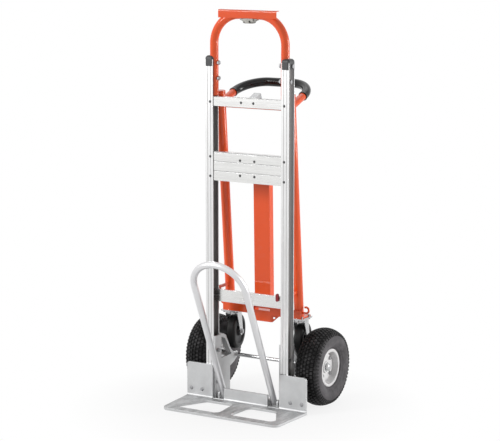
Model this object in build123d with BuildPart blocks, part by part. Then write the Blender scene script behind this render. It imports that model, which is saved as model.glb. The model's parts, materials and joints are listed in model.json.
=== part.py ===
from build123d import *
import os
from math import cos, hypot, radians, sin

os.makedirs("parts", exist_ok=True)

# Folding hand truck. Millimetres, +Z up, X across, +Y to the back.
# The origin lies on the underside of the nose plate, below the rails' front faces.

# Directions
ACROSS = (1, 0, 0)
BACK = (0, 1, 0)
FRONT = (0, -1, 0)
UP = (0, 0, 1)
DOWN = (0, 0, -1)
SIDES = ((-1, "left"), (1, "right"))

# Clearances
seat_gap = 0.1
run_gap = 0.05
fixed_gap = 0.02
bolt_gap = 0.2
side_play = 0.4

# Heights: the rails' tops, the top crossbar and the cart frame's top hang from the handle's top
handle_top_z = 1292.0
handle_rise = 169.0
top_bar_drop = 114.0
cap_bottom_z = handle_top_z - handle_rise
top_bar_z = cap_bottom_z - top_bar_drop

# Rails: channel on the inner side, shallow channel on the outer side
rail_inner_x = 128.5
rail_width = 28.5
rail_depth = 36.0
rail_flange = 3.0
rail_web = 3.5
outer_channel = 6.5
groove_width = 2.0
groove_depth = 0.8
groove_offset = 8.5
rail_outer_x = rail_inner_x + rail_width
rail_mid_x = rail_inner_x + rail_width / 2
rail_mid_y = rail_depth / 2
web_outer_x = rail_outer_x - outer_channel
web_inner_x = web_outer_x - rail_web

# Nose plate
plate_thickness = 8.0
nose_reach = 184.5
nose_front_half = 218.0
nose_corner = 25.0
upstand = 8.0
wing_inner_x = 128.0
wing_outer_x = 228.5
wing_height = 124.0
wing_corner = 10.0
riser_half = 84.0
riser_height = 48.0
sill_height = 2.0
root_radius = 7.0
window_points = ((29, -37), (134, -37), (197, -151), (20, -151))
window_radius = 17.0
wing_bolt_x = (170.0, 212.0)
wing_bolt_z = 34.0
wing_bolt_radius = 4.0

# Folding nose loop and its lugs
loop_half = 96.5
loop_radius = 11.0
loop_wall = 1.6
loop_leg = 442.0
loop_lean = 24.5
loop_foot = 6.0
loop_pivot_y = 15.0
loop_pivot_z = plate_thickness + 14.0
loop_pin_radius = 4.0
lug_thickness = 6.0
lug_play = 2.0
lug_radius = 9.0
loop_pin_head = 2.0
lug_inner_x = loop_half - loop_radius - lug_play - lug_thickness
lug_outer_x = loop_half + loop_radius + lug_play

# Crossbars
crossbar_depth = 22.0
crossbar_wall = 2.5
crossbar_half = web_inner_x - seat_gap
crossbar_back_y = rail_flange + crossbar_depth
top_bar_height = 30.0
middle_bar_z = 795.5
middle_bar_height = 96.0
band_height = middle_bar_height / 3
band_groove = 3.0
band_depth = 1.2
ledge_height = 4.0
ledge_depth = 1.5
lower_bar_z = 357.5
lower_bar_height = 41.0
lower_bar_depth = 10.0
lower_bar_front_y = rail_depth - rail_flange - lower_bar_depth
screw_x = 139.0
screw_radius = 2.5
screw_head = 4.5
screw_head_height = 2.5
screw_length = 9.0
front_screw_z = (top_bar_z - 2, middle_bar_z + 31, middle_bar_z - 34)
rear_screw_z = (lower_bar_z - 9, lower_bar_z + 9)

# Bumper that the nose loop folds up against
bumper_height = 26.0
bumper_width = 10.0
bumper_depth = 6.0
bumper_offset = 8.0
bumper_x = loop_half + bumper_offset
bumper_z = lower_bar_z + lower_bar_height / 2 - 4

# Rail caps
cap_wall = 1.5
cap_height = 34.5
cap_engagement = 22.0
cap_corner = 8.0
cap_dome = 10.0
rail_top_z = cap_bottom_z + cap_engagement

# Loop handle, its bolts and the cover bar
handle_radius = 14.0
handle_wall = 2.0
handle_bend = 95.0
handle_leg_x = web_inner_x - handle_radius - seat_gap
handle_foot_z = top_bar_z + top_bar_height / 2 + 3
handle_bolt_radius = 4.0
handle_bolt_head = 7.5
handle_bolt_head_height = 5.0
handle_nut_height = 6.0
handle_bolt_high_z = cap_bottom_z + 11
handle_bolt_low_z = handle_bolt_high_z - 50.5
bar_half = 108.0
bar_wall = 2.4
bar_drop = 10.0
bar_round = 5.0
bar_deep = 19.0
bar_bottom_z = handle_top_z - bar_drop
bar_roof_z = handle_top_z + handle_radius + seat_gap
bar_inner_half = handle_radius + seat_gap

# Catch under the cover bar
catch_half = 18.5
catch_depth = 22.0
catch_drop = 13.0
catch_round = 6.0
catch_ear_half = 31.0
catch_ear_deep = 16.0
catch_ear = 2.5
tongue_half = 7.0
tongue_thickness = 4.0
tongue_reach = 6.0
catch_screw_x = 26.0
catch_screw_radius = 2.0
catch_bottom_z = handle_top_z - handle_radius - catch_drop
tongue_z = catch_bottom_z + 5.5

# Axle and brackets: the tyres stand on the floor, just behind the nose plate's wings
tyre_radius = 130.0
tyre_play = 7.0
axle_y = tyre_radius + tyre_play
axle_z = tyre_radius
axle_radius = 6.35
bracket_thickness = 6.0
bracket_foot_y = axle_y - 40
bracket_foot_z = axle_z - 32
bracket_rib = 17.5
bracket_flange = 5.0
boss_radius = 12.5
collar_outer_x = 163.0
bracket_bolt_z = (60.0, 170.0)
bracket_bolt_radius = 4.0
pad_radius = 9.0
bracket_rise = 91.0
bracket_inner_x = rail_inner_x - bracket_thickness
bracket_top_z = axle_z + bracket_rise

# Main wheels
wheel_x = 212.0
tyre_half = 43.0
tyre_wall = 7.5
tread_half = 36.0
tread_fall = 11.0
tread_rows = 7
tread_count = 58
row_pitch = 11.0
ring_half = 1.3
ring_depth = 3.6
cross_groove_half = 2.3
cross_groove_depth = 3.2
bevel_in = 2.0
bevel_drop = 11.0
bead_radius = 57.0
bead_half = 26.8
rim_wall = 3.0
rim_lip = 63.0
disc_face = 12.0
disc_edge = bead_radius - 14
disc_groove = 4.0
hub_in = 33.0
hub_out = disc_face + 4
hub_radius = 19.5
bearing_radius = 16.0
bearing_width = 12.0
rim_bolt_circle = 36.0
rim_bolt_radius = 4.0
valve_radius = 4.0
valve_length = 14.0
valve_offset = bead_half - tyre_wall - valve_radius - bolt_gap
valve_tip = 5.0
axle_end_x = wheel_x + hub_out + 7
end_cap_radius = 11.0
spacer_radius = 10.0

# Link arm between the middle crossbar and the cart frame
link_top_y = 106.0
link_top_z = 815.0
link_low_y = 118.0
link_low_z = 320.0
link_half = 30.0
link_wall = 3.0
link_deep = 25.0
link_pin_radius = 5.0
link_web_gap = 24.0
link_web_foot = 10.0
pin_head_radius = 8.0
pin_head_height = 3.0
link_length = hypot(link_top_y - link_low_y, link_top_z - link_low_z)

# Hinge bracket on the back of the middle crossbar
hinge_half = 39.0
hinge_plate = 4.0
hinge_bolt_x = 27.0
hinge_bolt_z = (middle_bar_z + 24, middle_bar_z - 26)
hinge_bolt_radius = 3.0
hinge_bolt_head = 4.5
hinge_ear_x = 14.0
hinge_ear = 4.0
hinge_ear_drop = 30.0
hinge_ear_radius = 11.0

# Cart frame tubes, arched handle and grip
cart_x = 132.0
cart_radius = 16.0
cart_wall = 2.0
cart_y = 115.0
cart_y_at = 350.0
cart_top_y = 58.7
cart_top_rise = 31.0
cart_plug = 3.5
cart_run_out = 40.0
arch_radius = 12.5
arch_wall = 2.0
arch_drop = 10.0
arch_rise = 19.4
arch_straight = 87.0
arch_bend = 90.0
grip_start = 82.0
grip_thickness = 2.2
cart_top_z = top_bar_z + cart_top_rise
arch_z = top_bar_z - arch_drop
cart_slope = (cart_y - cart_top_y) / (arch_z - cart_y_at)
cart_normal = hypot(1, cart_slope)

# Strap across the cart tubes
strap_drop = 13.0
strap_z = top_bar_z - strap_drop
strap_height = 27.0
strap_near = 9.0
strap_far = 14.0

# Latch on the back of the top crossbar
latch_pivot_y = 45.0
latch_pivot_z = top_bar_z - 1
latch_raised = 22.0
latch_plate = 3.0
latch_plate_half = 32.0
latch_screw_x = 23.0
latch_screw_radius = 2.5
latch_ear_x = 6.5
latch_ear = 3.0
latch_ear_radius = 7.0
latch_pin_radius = 3.0
lever_side_x = 10.2
lever_wall = 2.5

# Caster base
base_half = 150.0
base_front_y = 97.0
base_deep = 70.0
base_sheet = 3.0
base_top_z = 293.5
base_lip_z = 319.0
notch_play = 2.5
apron_bottom_z = 268.0
apron_front_half = 36.0
apron_half = 62.0
apron_deep = 16.0
apron_low_half = 40.0
apron_hole = 3.5
apron_hole_x = apron_front_half + 10
apron_hole_z = apron_bottom_z + 14
clevis_ear = 4.0
clevis_plate = 4.0
clevis_ear_radius = 13.0

# Hooks on the cart frame
hook_width = 8.0
hook_front_y = 44.0
hook_top_z = 386.0
hook_bar = 9.0
hook_tip = 5.0
hook_drop = 19.0
cord_ring = 10.0
cord_wire = 3.5
cord_hook_z = 319.0
cord_hook_y = cart_y - cart_slope * (cord_hook_z - cart_y_at)
cord_hook_x = cart_x + cart_radius + cord_ring + 1

# Casters
caster_x = 130.0
caster_y = 130.0
caster_trail = 28.0
caster_wheel_radius = 60.0
caster_wheel_half = 16.0
caster_wheel_z = 206.5
caster_hub_half = 18.0
caster_turn = 11.0
caster_hub_radius = 15.0
caster_web_half = 9.0
caster_plate_half_x = 28.0
caster_plate_half_y = 33.0
caster_plate = 4.5
race_radius = 24.0
race_height = 6.0
king_radius = 6.0
king_head = 10.0
king_head_height = 4.5
yoke_sheet = 3.2
yoke_boss = 13.0
caster_axle_radius = 5.0
caster_bolt_x = 20.0
caster_bolt_y = 24.0
caster_bolt_radius = 3.0
plate_top_z = base_top_z - base_sheet
race_bottom_z = plate_top_z - caster_plate - race_height
crown_top_z = race_bottom_z - side_play
crown_bottom_z = crown_top_z - yoke_sheet
caster_wheel_y = caster_y + caster_trail
yoke_inner = caster_hub_half + side_play
yoke_outer = yoke_inner + yoke_sheet


def save(part, name):
    """Label one finished piece and write its file."""
    part.label = name
    export_step(part, "parts/" + name + ".step")


def against(way):
    """The opposite direction."""
    return tuple(-c for c in way)


def moved(place, way, length):
    """The point at a length from place along way."""
    return tuple(p + w * length for p, w in zip(place, way))


def rod(place, way, radius, length, mode=Mode.ADD):
    """A round bar or hole from place along way."""
    with Locations(Plane(origin=place, z_dir=way)):
        Cylinder(radius, length, align=(Align.CENTER, Align.CENTER, Align.MIN), mode=mode)


def hole(place, way, radius, length):
    """A round hole with a little run-out at both ends."""
    rod(moved(place, way, -1), way, radius, length + 2, Mode.SUBTRACT)


def dome(place, way, radius, height):
    """A low domed head that stands on place and rises along way."""
    with Locations(Plane(origin=place, z_dir=way)):
        Cone(radius, radius * 0.6, height, align=(Align.CENTER, Align.CENTER, Align.MIN))


def hexagon(place, way, radius, height):
    """A six-sided head or nut that stands on place and rises along way."""
    with BuildSketch(Plane(origin=place, z_dir=way)) as flats:
        RegularPolygon(radius, 6)
    extrude(flats.sketch, amount=height)


def box(x0, x1, y0, y1, z0, z1, mode=Mode.ADD):
    """A block between two corners."""
    with Locations(((x0 + x1) / 2, (y0 + y1) / 2, (z0 + z1) / 2)):
        Box(abs(x1 - x0), abs(y1 - y0), abs(z1 - z0), mode=mode)


def slab(points, x0, x1, mode=Mode.ADD):
    """A plate with an outline in Y and Z, between two X values."""
    with BuildSketch(Plane.YZ.offset(x0)) as outline:
        Polygon(*points, align=None)
    extrude(outline.sketch, amount=x1 - x0, mode=mode)


def bent_tube(points, bend, radius, wall, mode=Mode.ADD):
    """A round tube, or a solid bar without a wall, along a bent path."""
    with BuildLine() as path:
        FilletPolyline(*points, radius=bend)
    with BuildSketch(Plane(origin=path.line @ 0, z_dir=path.line % 0)) as ring:
        Circle(radius)
        if wall:
            Circle(radius - wall, mode=Mode.SUBTRACT)
    sweep(ring.sketch, path=path.line, mode=mode)


def handle_points():
    """Corner points of the loop handle's centreline."""
    x = handle_leg_x
    y = rail_mid_y
    return ((-x, y, handle_foot_z), (-x, y, handle_top_z), (x, y, handle_top_z), (x, y, handle_foot_z))


def cart_axis(side, z):
    """The point of a cart tube's centreline at height z."""
    return (side * cart_x, cart_y - cart_slope * (z - cart_y_at), z)


cart_up = (0, -cart_slope / cart_normal, 1 / cart_normal)


def cart_tube_clearance(gap):
    """Cut away the room that both cart tubes fill."""
    length = (cart_top_z - base_top_z + 2 * cart_run_out) * cart_normal
    for side in (-1, 1):
        rod(cart_axis(side, base_top_z - cart_run_out), cart_up, cart_radius + gap, length, Mode.SUBTRACT)


# Frame: rails

def rail(side, word):
    with BuildPart() as piece:
        with BuildSketch(Plane.XY.offset(plate_thickness)):
            with Locations((side * rail_mid_x, rail_flange / 2)):
                Rectangle(rail_width, rail_flange)
            with Locations((side * rail_mid_x, rail_depth - rail_flange / 2)):
                Rectangle(rail_width, rail_flange)
            with Locations((side * (web_inner_x + web_outer_x) / 2, rail_mid_y)):
                Rectangle(rail_web, rail_depth)
            for edge in (rail_inner_x + groove_offset, rail_outer_x - groove_offset):
                with Locations((side * edge, 0)):
                    Rectangle(groove_width, 2 * groove_depth, mode=Mode.SUBTRACT)
        extrude(amount=rail_top_z - plate_thickness)
        for z in front_screw_z:
            hole((side * screw_x, 0, z), BACK, screw_radius + bolt_gap, rail_flange)
        for z in rear_screw_z:
            hole((side * screw_x, rail_depth, z), FRONT, screw_radius + bolt_gap, rail_flange)
        for z in (handle_bolt_low_z, handle_bolt_high_z):
            hole((side * web_inner_x, rail_mid_y, z), (side, 0, 0), handle_bolt_radius + bolt_gap, rail_web)
        for z in bracket_bolt_z:
            hole((side * web_inner_x, rail_mid_y, z), (side, 0, 0), bracket_bolt_radius + bolt_gap, rail_web)
    save(piece.part, word + "_rail")


def rail_cap(side, word):
    with BuildPart() as piece:
        with BuildSketch(Plane.XY.offset(cap_bottom_z)):
            with Locations((side * rail_mid_x, rail_mid_y)):
                RectangleRounded(rail_width + 2 * cap_wall, rail_depth + 2 * cap_wall, cap_corner)
        extrude(amount=cap_height)
        fillet(piece.faces().sort_by(Axis.Z)[-1].edges(), cap_dome)
        with BuildSketch(Plane.XY.offset(cap_bottom_z)):
            with Locations((side * rail_mid_x, rail_mid_y)):
                Rectangle(rail_width + 2 * fixed_gap, rail_depth + 2 * fixed_gap)
        extrude(amount=cap_engagement + fixed_gap, mode=Mode.SUBTRACT)
        leg_room = handle_radius + 0.3
        with BuildSketch(Plane.XY.offset(cap_bottom_z)):
            with Locations((side * handle_leg_x, rail_mid_y)):
                Circle(leg_room)
            with Locations((side * (handle_leg_x - leg_room), rail_mid_y)):
                Rectangle(2 * leg_room, 2 * leg_room)
        extrude(amount=cap_height, mode=Mode.SUBTRACT)
        hole((side * rail_outer_x, rail_mid_y, handle_bolt_high_z), (side, 0, 0),
             handle_bolt_radius + bolt_gap, cap_wall)
    save(piece.part, word + "_rail_cap")


# Frame: crossbars

def hollow_bar(front_y, depth, z, height):
    """A square-edged hollow bar that spans the rails' inner channels."""
    with BuildSketch(Plane.YZ.offset(-crossbar_half)) as section:
        with Locations((front_y + depth / 2, z)):
            Rectangle(depth, height)
            Rectangle(depth - 2 * crossbar_wall, height - 2 * crossbar_wall, mode=Mode.SUBTRACT)
    extrude(section.sketch, amount=2 * crossbar_half)


def top_crossbar():
    with BuildPart() as piece:
        hollow_bar(rail_flange, crossbar_depth, top_bar_z, top_bar_height)
        for side in (-1, 1):
            hole((side * screw_x, rail_flange, front_screw_z[0]), BACK,
                 screw_radius + bolt_gap, crossbar_wall)
            hole((side * latch_screw_x, rail_flange, top_bar_z), BACK,
                 latch_screw_radius + bolt_gap, crossbar_depth)
    save(piece.part, "top_crossbar")


def middle_crossbar():
    top_z = middle_bar_z + middle_bar_height / 2
    with BuildPart() as piece:
        hollow_bar(rail_flange, crossbar_depth, middle_bar_z, middle_bar_height)
        for step in (-0.5, 0.5):
            z = middle_bar_z + step * band_height
            box(-crossbar_half, crossbar_half, rail_flange, crossbar_back_y, z - 1.5, z + 1.5)
            box(-rail_inner_x, rail_inner_x, rail_flange - 1, rail_flange + band_depth,
                z - band_groove / 2, z + band_groove / 2, Mode.SUBTRACT)
        box(-rail_inner_x, rail_inner_x, rail_flange - 1, rail_flange + ledge_depth,
            top_z - ledge_height, top_z + 1, Mode.SUBTRACT)
        for side in (-1, 1):
            for z in front_screw_z[1:]:
                hole((side * screw_x, rail_flange, z), BACK, screw_radius + bolt_gap, crossbar_wall)
            for z in hinge_bolt_z:
                hole((side * hinge_bolt_x, rail_flange, z), BACK,
                     hinge_bolt_radius + bolt_gap, crossbar_depth)
    save(piece.part, "middle_crossbar")


def lower_crossbar():
    with BuildPart() as piece:
        hollow_bar(lower_bar_front_y, lower_bar_depth, lower_bar_z, lower_bar_height)
        for side in (-1, 1):
            for z in rear_screw_z:
                hole((side * screw_x, rail_depth - rail_flange, z), FRONT,
                     screw_radius + bolt_gap, crossbar_wall)
    save(piece.part, "lower_crossbar")


def loop_bumper():
    with BuildPart() as piece:
        with BuildSketch(Plane.XZ.offset(-lower_bar_front_y)):
            with Locations((bumper_x, bumper_z)):
                SlotOverall(bumper_height, bumper_width, rotation=90)
        extrude(amount=bumper_depth)
    save(piece.part, "loop_bumper")


def crossbar_screws():
    with BuildPart() as piece:
        for side in (-1, 1):
            for z in front_screw_z:
                rod((side * screw_x, 0, z), BACK, screw_radius, screw_length)
                dome((side * screw_x, 0, z), FRONT, screw_head, screw_head_height)
            for z in rear_screw_z:
                rod((side * screw_x, rail_depth, z), FRONT, screw_radius, screw_length)
                dome((side * screw_x, rail_depth, z), BACK, screw_head, screw_head_height)
    save(piece.part, "crossbar_screws")


# Frame: nose plate

def root(x0, x1):
    """Hollow corner between the plate and an upstand."""
    y = -upstand
    z = plate_thickness
    r = root_radius
    bulge = r * (1 - cos(radians(45)))
    with BuildSketch(Plane.YZ.offset(x0)) as corner:
        with BuildLine():
            Polyline((y - r, z), (y - r, z - 2), (y + 2, z - 2), (y + 2, z + r), (y, z + r))
            ThreePointArc((y, z + r), (y - bulge, z + bulge), (y - r, z))
        make_face()
    extrude(corner.sketch, amount=x1 - x0)


def nose_plate():
    y = -upstand
    with BuildPart() as piece:
        with BuildSketch():
            Polygon((-nose_front_half, -nose_reach), (nose_front_half, -nose_reach), (wing_outer_x, y),
                    (wing_outer_x, 0), (-wing_outer_x, 0), (-wing_outer_x, y), align=None)
            fillet(vertices().group_by(Axis.Y)[0], nose_corner)
            with Locations((0, rail_depth / 2 - upstand / 2)):
                Rectangle(2 * rail_outer_x, rail_depth + upstand)
        extrude(amount=plate_thickness)
        for side in (-1, 1):
            with BuildSketch():
                Polygon(*[(side * px, py) for px, py in window_points], align=None)
                fillet(vertices(), window_radius)
            extrude(amount=plate_thickness, mode=Mode.SUBTRACT)
        with BuildSketch(Plane.XZ):
            Polygon((-riser_half, 0), (riser_half, 0), (riser_half, riser_height),
                    (-riser_half, riser_height), align=None)
            for side in (-1, 1):
                Polygon((side * wing_inner_x, 0), (side * wing_outer_x, 0),
                        (side * wing_outer_x, wing_height), (side * wing_inner_x, wing_height), align=None)
            fillet(vertices().group_by(Axis.Y)[-1].sort_by(Axis.X)[0], wing_corner)
            fillet(vertices().group_by(Axis.Y)[-1].sort_by(Axis.X)[-1], wing_corner)
        extrude(amount=upstand)
        root(-riser_half, riser_half)
        for side in (-1, 1):
            root(side * wing_inner_x, side * wing_outer_x)
            box(side * riser_half, side * wing_inner_x, -upstand, 0, 0, plate_thickness + sill_height)
            for x in (lug_inner_x, lug_outer_x):
                slab(((loop_pivot_y - lug_radius, 0), (loop_pivot_y + lug_radius, 0),
                      (loop_pivot_y + lug_radius, loop_pivot_z), (loop_pivot_y - lug_radius, loop_pivot_z)),
                     side * x, side * (x + lug_thickness))
                rod((side * x, loop_pivot_y, loop_pivot_z), (side, 0, 0), lug_radius, lug_thickness)
            hole((side * lug_inner_x, loop_pivot_y, loop_pivot_z), (side, 0, 0), loop_pin_radius + fixed_gap,
                 lug_outer_x + lug_thickness - lug_inner_x)
            for x in wing_bolt_x:
                hole((side * x, 0, wing_bolt_z), FRONT, wing_bolt_radius + bolt_gap, upstand)
    save(piece.part, "nose_plate")


def nose_plate_bolts():
    with BuildPart() as piece:
        for side in (-1, 1):
            for x in wing_bolt_x:
                rod((side * x, -upstand, wing_bolt_z), BACK, wing_bolt_radius, upstand + 6)
                dome((side * x, -upstand, wing_bolt_z), FRONT, wing_bolt_radius * 1.7, 2.4)
                hexagon((side * x, 0, wing_bolt_z), BACK, wing_bolt_radius * 1.75, 5)
    save(piece.part, "nose_plate_bolts")


# Folding nose loop

def nose_loop():
    lean = radians(loop_lean)
    up = (0, -sin(lean), cos(lean))
    pivot_left = (-loop_half, loop_pivot_y, loop_pivot_z)
    pivot_right = (loop_half, loop_pivot_y, loop_pivot_z)
    apex = moved((0, loop_pivot_y, loop_pivot_z), up, loop_leg + loop_half)
    with BuildPart() as piece:
        with BuildLine() as path:
            Line(moved(pivot_left, up, -loop_foot), moved(pivot_left, up, loop_leg))
            ThreePointArc(moved(pivot_left, up, loop_leg), apex, moved(pivot_right, up, loop_leg))
            Line(moved(pivot_right, up, loop_leg), moved(pivot_right, up, -loop_foot))
        with BuildSketch(Plane(origin=path.line @ 0, z_dir=path.line % 0)):
            Circle(loop_radius)
            Circle(loop_radius - loop_wall, mode=Mode.SUBTRACT)
        sweep(path=path.line)
        for side in (-1, 1):
            hole((side * (loop_half - loop_radius), loop_pivot_y, loop_pivot_z), (side, 0, 0),
                 loop_pin_radius + run_gap, 2 * loop_radius)
    save(piece.part, "nose_loop")


def nose_loop_pins():
    with BuildPart() as piece:
        length = lug_outer_x + lug_thickness - lug_inner_x
        for side in (-1, 1):
            near = (side * lug_inner_x, loop_pivot_y, loop_pivot_z)
            far = (side * (lug_outer_x + lug_thickness), loop_pivot_y, loop_pivot_z)
            rod(near, (side, 0, 0), loop_pin_radius, length)
            rod(near, (-side, 0, 0), loop_pin_radius * 1.6, loop_pin_head)
            rod(far, (side, 0, 0), loop_pin_radius * 1.6, loop_pin_head)
    save(piece.part, "nose_loop_pins")


# Loop handle, cover bar and catch

def loop_handle():
    with BuildPart() as piece:
        bent_tube(handle_points(), handle_bend, handle_radius, handle_wall)
        for side in (-1, 1):
            for z in (handle_bolt_low_z, handle_bolt_high_z):
                hole((side * (handle_leg_x - handle_radius), rail_mid_y, z), (side, 0, 0),
                     handle_bolt_radius + bolt_gap, 2 * handle_radius)
            hole((side * catch_screw_x, rail_mid_y, handle_top_z - handle_radius), UP,
                 catch_screw_radius + bolt_gap, handle_wall)
    save(piece.part, "loop_handle")


def handle_bolts():
    inner_x = handle_leg_x - handle_radius
    cap_outer_x = rail_outer_x + cap_wall
    with BuildPart() as piece:
        for side in (-1, 1):
            for z, outer_x in ((handle_bolt_low_z, web_outer_x), (handle_bolt_high_z, cap_outer_x)):
                outer = (side * outer_x, rail_mid_y, z)
                inner = (side * inner_x, rail_mid_y, z)
                rod(outer, (-side, 0, 0), handle_bolt_radius, outer_x - inner_x + handle_nut_height + 2)
                hexagon(outer, (side, 0, 0), handle_bolt_head, handle_bolt_head_height)
                hexagon(inner, (-side, 0, 0), handle_bolt_head, handle_nut_height)
    save(piece.part, "handle_bolts")


def handle_top_bar():
    front = rail_mid_y - bar_inner_half - bar_wall
    top_z = bar_roof_z + bar_wall
    with BuildPart() as piece:
        with BuildSketch(Plane.YZ.offset(-bar_half)):
            Polygon((front, bar_bottom_z), (front + bar_deep, bar_bottom_z), (front + bar_deep, top_z),
                    (front, top_z), align=None)
            fillet(vertices().sort_by(Axis.X)[:2].sort_by(Axis.Y)[-1], bar_round)
        extrude(amount=2 * bar_half)
        with BuildSketch(Plane.YZ.offset(-bar_half)):
            Polygon((front + bar_wall, bar_bottom_z - 1), (front + bar_deep + 1, bar_bottom_z - 1),
                    (front + bar_deep + 1, bar_roof_z), (front + bar_wall, bar_roof_z), align=None)
            fillet(vertices().sort_by(Axis.X)[:2].sort_by(Axis.Y)[-1], bar_round - bar_wall)
        extrude(amount=2 * bar_half, mode=Mode.SUBTRACT)
    save(piece.part, "handle_top_bar")


def catch_housing():
    back_y = rail_mid_y + catch_depth / 2
    front_y = rail_mid_y - catch_depth / 2
    with BuildPart() as piece:
        box(-catch_half, catch_half, front_y, back_y, catch_bottom_z, handle_top_z - handle_radius / 2)
        fillet(piece.faces().sort_by(Axis.Z)[0].edges(), catch_round)
        box(-catch_ear_half, catch_ear_half, rail_mid_y - catch_ear_deep / 2, rail_mid_y + catch_ear_deep / 2,
            handle_top_z - handle_radius - catch_ear, handle_top_z - handle_radius * 0.8)
        rod((-catch_ear_half - 1, rail_mid_y, handle_top_z), ACROSS, handle_radius + fixed_gap,
            2 * catch_ear_half + 2, Mode.SUBTRACT)
        room = tongue_half + bolt_gap
        box(-room, room, front_y - 1, back_y + 1, tongue_z - bolt_gap, tongue_z + tongue_thickness + bolt_gap,
            Mode.SUBTRACT)
        for side in (-1, 1):
            hole((side * catch_screw_x, rail_mid_y, handle_top_z - handle_radius - catch_ear), UP,
                 catch_screw_radius + bolt_gap, catch_ear)
    save(piece.part, "catch_housing")


def catch_tongue():
    front_y = rail_mid_y - catch_depth / 2
    back_y = rail_mid_y + catch_depth / 2
    with BuildPart() as piece:
        top_z = tongue_z + tongue_thickness
        box(-tongue_half, tongue_half, front_y - 3, back_y + tongue_reach, tongue_z, top_z)
        box(-tongue_half, tongue_half, front_y - 5, front_y - 2, tongue_z - 4, top_z)
    save(piece.part, "catch_tongue")


def latch_fasteners():
    with BuildPart() as piece:
        for side in (-1, 1):
            start = (side * latch_screw_x, rail_flange, top_bar_z)
            back = crossbar_back_y + latch_plate
            rod(start, BACK, latch_screw_radius, back - rail_flange + 5)
            dome(start, FRONT, latch_screw_radius * 1.8, 2)
            hexagon((side * latch_screw_x, back, top_bar_z), BACK, latch_screw_radius * 1.7, 4)
            foot = (side * catch_screw_x, rail_mid_y, handle_top_z - handle_radius - catch_ear)
            rod(foot, UP, catch_screw_radius, catch_ear + handle_wall + 3)
            dome(foot, DOWN, catch_screw_radius * 1.8, 2.4)
        reach = lever_side_x + lever_wall + side_play
        rod((-reach, latch_pivot_y, latch_pivot_z), ACROSS, latch_pin_radius, 2 * reach)
        for side in (-1, 1):
            rod((side * reach, latch_pivot_y, latch_pivot_z), (side, 0, 0), latch_pin_radius * 1.6, 2)
    save(piece.part, "latch_fasteners")


# Latch

def latch_bracket():
    back = crossbar_back_y + latch_plate
    with BuildPart() as piece:
        box(-latch_plate_half, latch_plate_half, crossbar_back_y, back,
            top_bar_z - top_bar_height / 2 + 2, top_bar_z + top_bar_height / 2 - 2)
        for side in (-1, 1):
            slab(((back - 1, latch_pivot_z - 9), (latch_pivot_y, latch_pivot_z - latch_ear_radius),
                  (latch_pivot_y, latch_pivot_z + latch_ear_radius), (back - 1, latch_pivot_z + 12)),
                 side * latch_ear_x, side * (latch_ear_x + latch_ear))
            rod((side * latch_ear_x, latch_pivot_y, latch_pivot_z), (side, 0, 0), latch_ear_radius, latch_ear)
            hole((side * latch_ear_x, latch_pivot_y, latch_pivot_z), (side, 0, 0),
                 latch_pin_radius + fixed_gap, latch_ear)
            hole((side * latch_screw_x, crossbar_back_y, top_bar_z), BACK, latch_screw_radius + bolt_gap,
                 latch_plate)
    save(piece.part, "latch_bracket")


def latch_lever():
    turn = radians(latch_raised)
    pivot = (0, latch_pivot_y, latch_pivot_z)
    side_plate = Plane(origin=pivot, x_dir=(0, cos(turn), sin(turn)), z_dir=ACROSS)
    with BuildPart() as piece:
        for side in (-1, 1):
            with BuildSketch(side_plate.offset(side * lever_side_x)):
                Polygon((-6, -7), (7, -7), (14, 6), (30, 6), (30, -7), (34, -7), (34, 17), (-2, 17), (-6, 12),
                        align=None)
                Circle(latch_pin_radius + run_gap, mode=Mode.SUBTRACT)
            extrude(amount=side * lever_wall)
        with BuildSketch(side_plate.offset(-lever_side_x)):
            Polygon((30, -7), (34, -7), (34, 17), (-2, 17), (-2, 14), (30, 14), align=None)
        extrude(amount=2 * lever_side_x)
    save(piece.part, "latch_lever")


# Axle brackets and axle

def axle_bracket(side, word):
    upper = ((axle_y - 16, axle_z + 13.5), (axle_y - 26, axle_z + 19), (axle_y - 40, axle_z + 34),
             (axle_y - 53, axle_z + 58), (axle_y - 66, axle_z + 79), (axle_y - 80, axle_z + 89))
    lower = tuple((y - 5, z - 6) for y, z in upper)
    inner = side * bracket_inner_x
    with BuildPart() as piece:
        slab(((1, plate_thickness), (bracket_foot_y, plate_thickness), (bracket_foot_y, bracket_foot_z),
              (axle_y - 10, axle_z - 20), (axle_y, axle_z - boss_radius), (axle_y, axle_z + boss_radius))
             + upper + ((1, bracket_top_z),), inner, side * rail_inner_x)
        slab(((rail_depth + 4, axle_z + 8), (axle_y - 29, axle_z + 8), (axle_y - 46, axle_z + 30),
              (axle_y - 60, axle_z + 54), (axle_y - 74, axle_z + 72), (rail_depth + 4, axle_z + 80)),
             inner - side, side * (rail_inner_x + 1), Mode.SUBTRACT)
        slab(upper + tuple(reversed(lower)), inner, side * (bracket_inner_x + bracket_rib))
        box(inner, side * rail_outer_x, rail_depth, rail_depth + bracket_flange,
            plate_thickness, bracket_top_z)
        rod((inner, axle_y, axle_z), (side, 0, 0), boss_radius, collar_outer_x - bracket_inner_x)
        hole((inner, axle_y, axle_z), (side, 0, 0), axle_radius + fixed_gap, collar_outer_x - bracket_inner_x)
        for z in bracket_bolt_z:
            rod((side * rail_inner_x, rail_mid_y, z), (side, 0, 0), pad_radius,
                web_inner_x - rail_inner_x - seat_gap)
            hole((inner, rail_mid_y, z), (side, 0, 0), bracket_bolt_radius + bolt_gap,
                 web_inner_x - bracket_inner_x)
    save(piece.part, word + "_axle_bracket")


def axle_bracket_bolts():
    with BuildPart() as piece:
        for side in (-1, 1):
            for z in bracket_bolt_z:
                rod((side * web_outer_x, rail_mid_y, z), (-side, 0, 0), bracket_bolt_radius,
                    web_outer_x - bracket_inner_x + 8)
                hexagon((side * web_outer_x, rail_mid_y, z), (side, 0, 0), bracket_bolt_radius * 1.8, 5)
                hexagon((side * bracket_inner_x, rail_mid_y, z), (-side, 0, 0), bracket_bolt_radius * 1.8, 6)
    save(piece.part, "axle_bracket_bolts")


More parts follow.
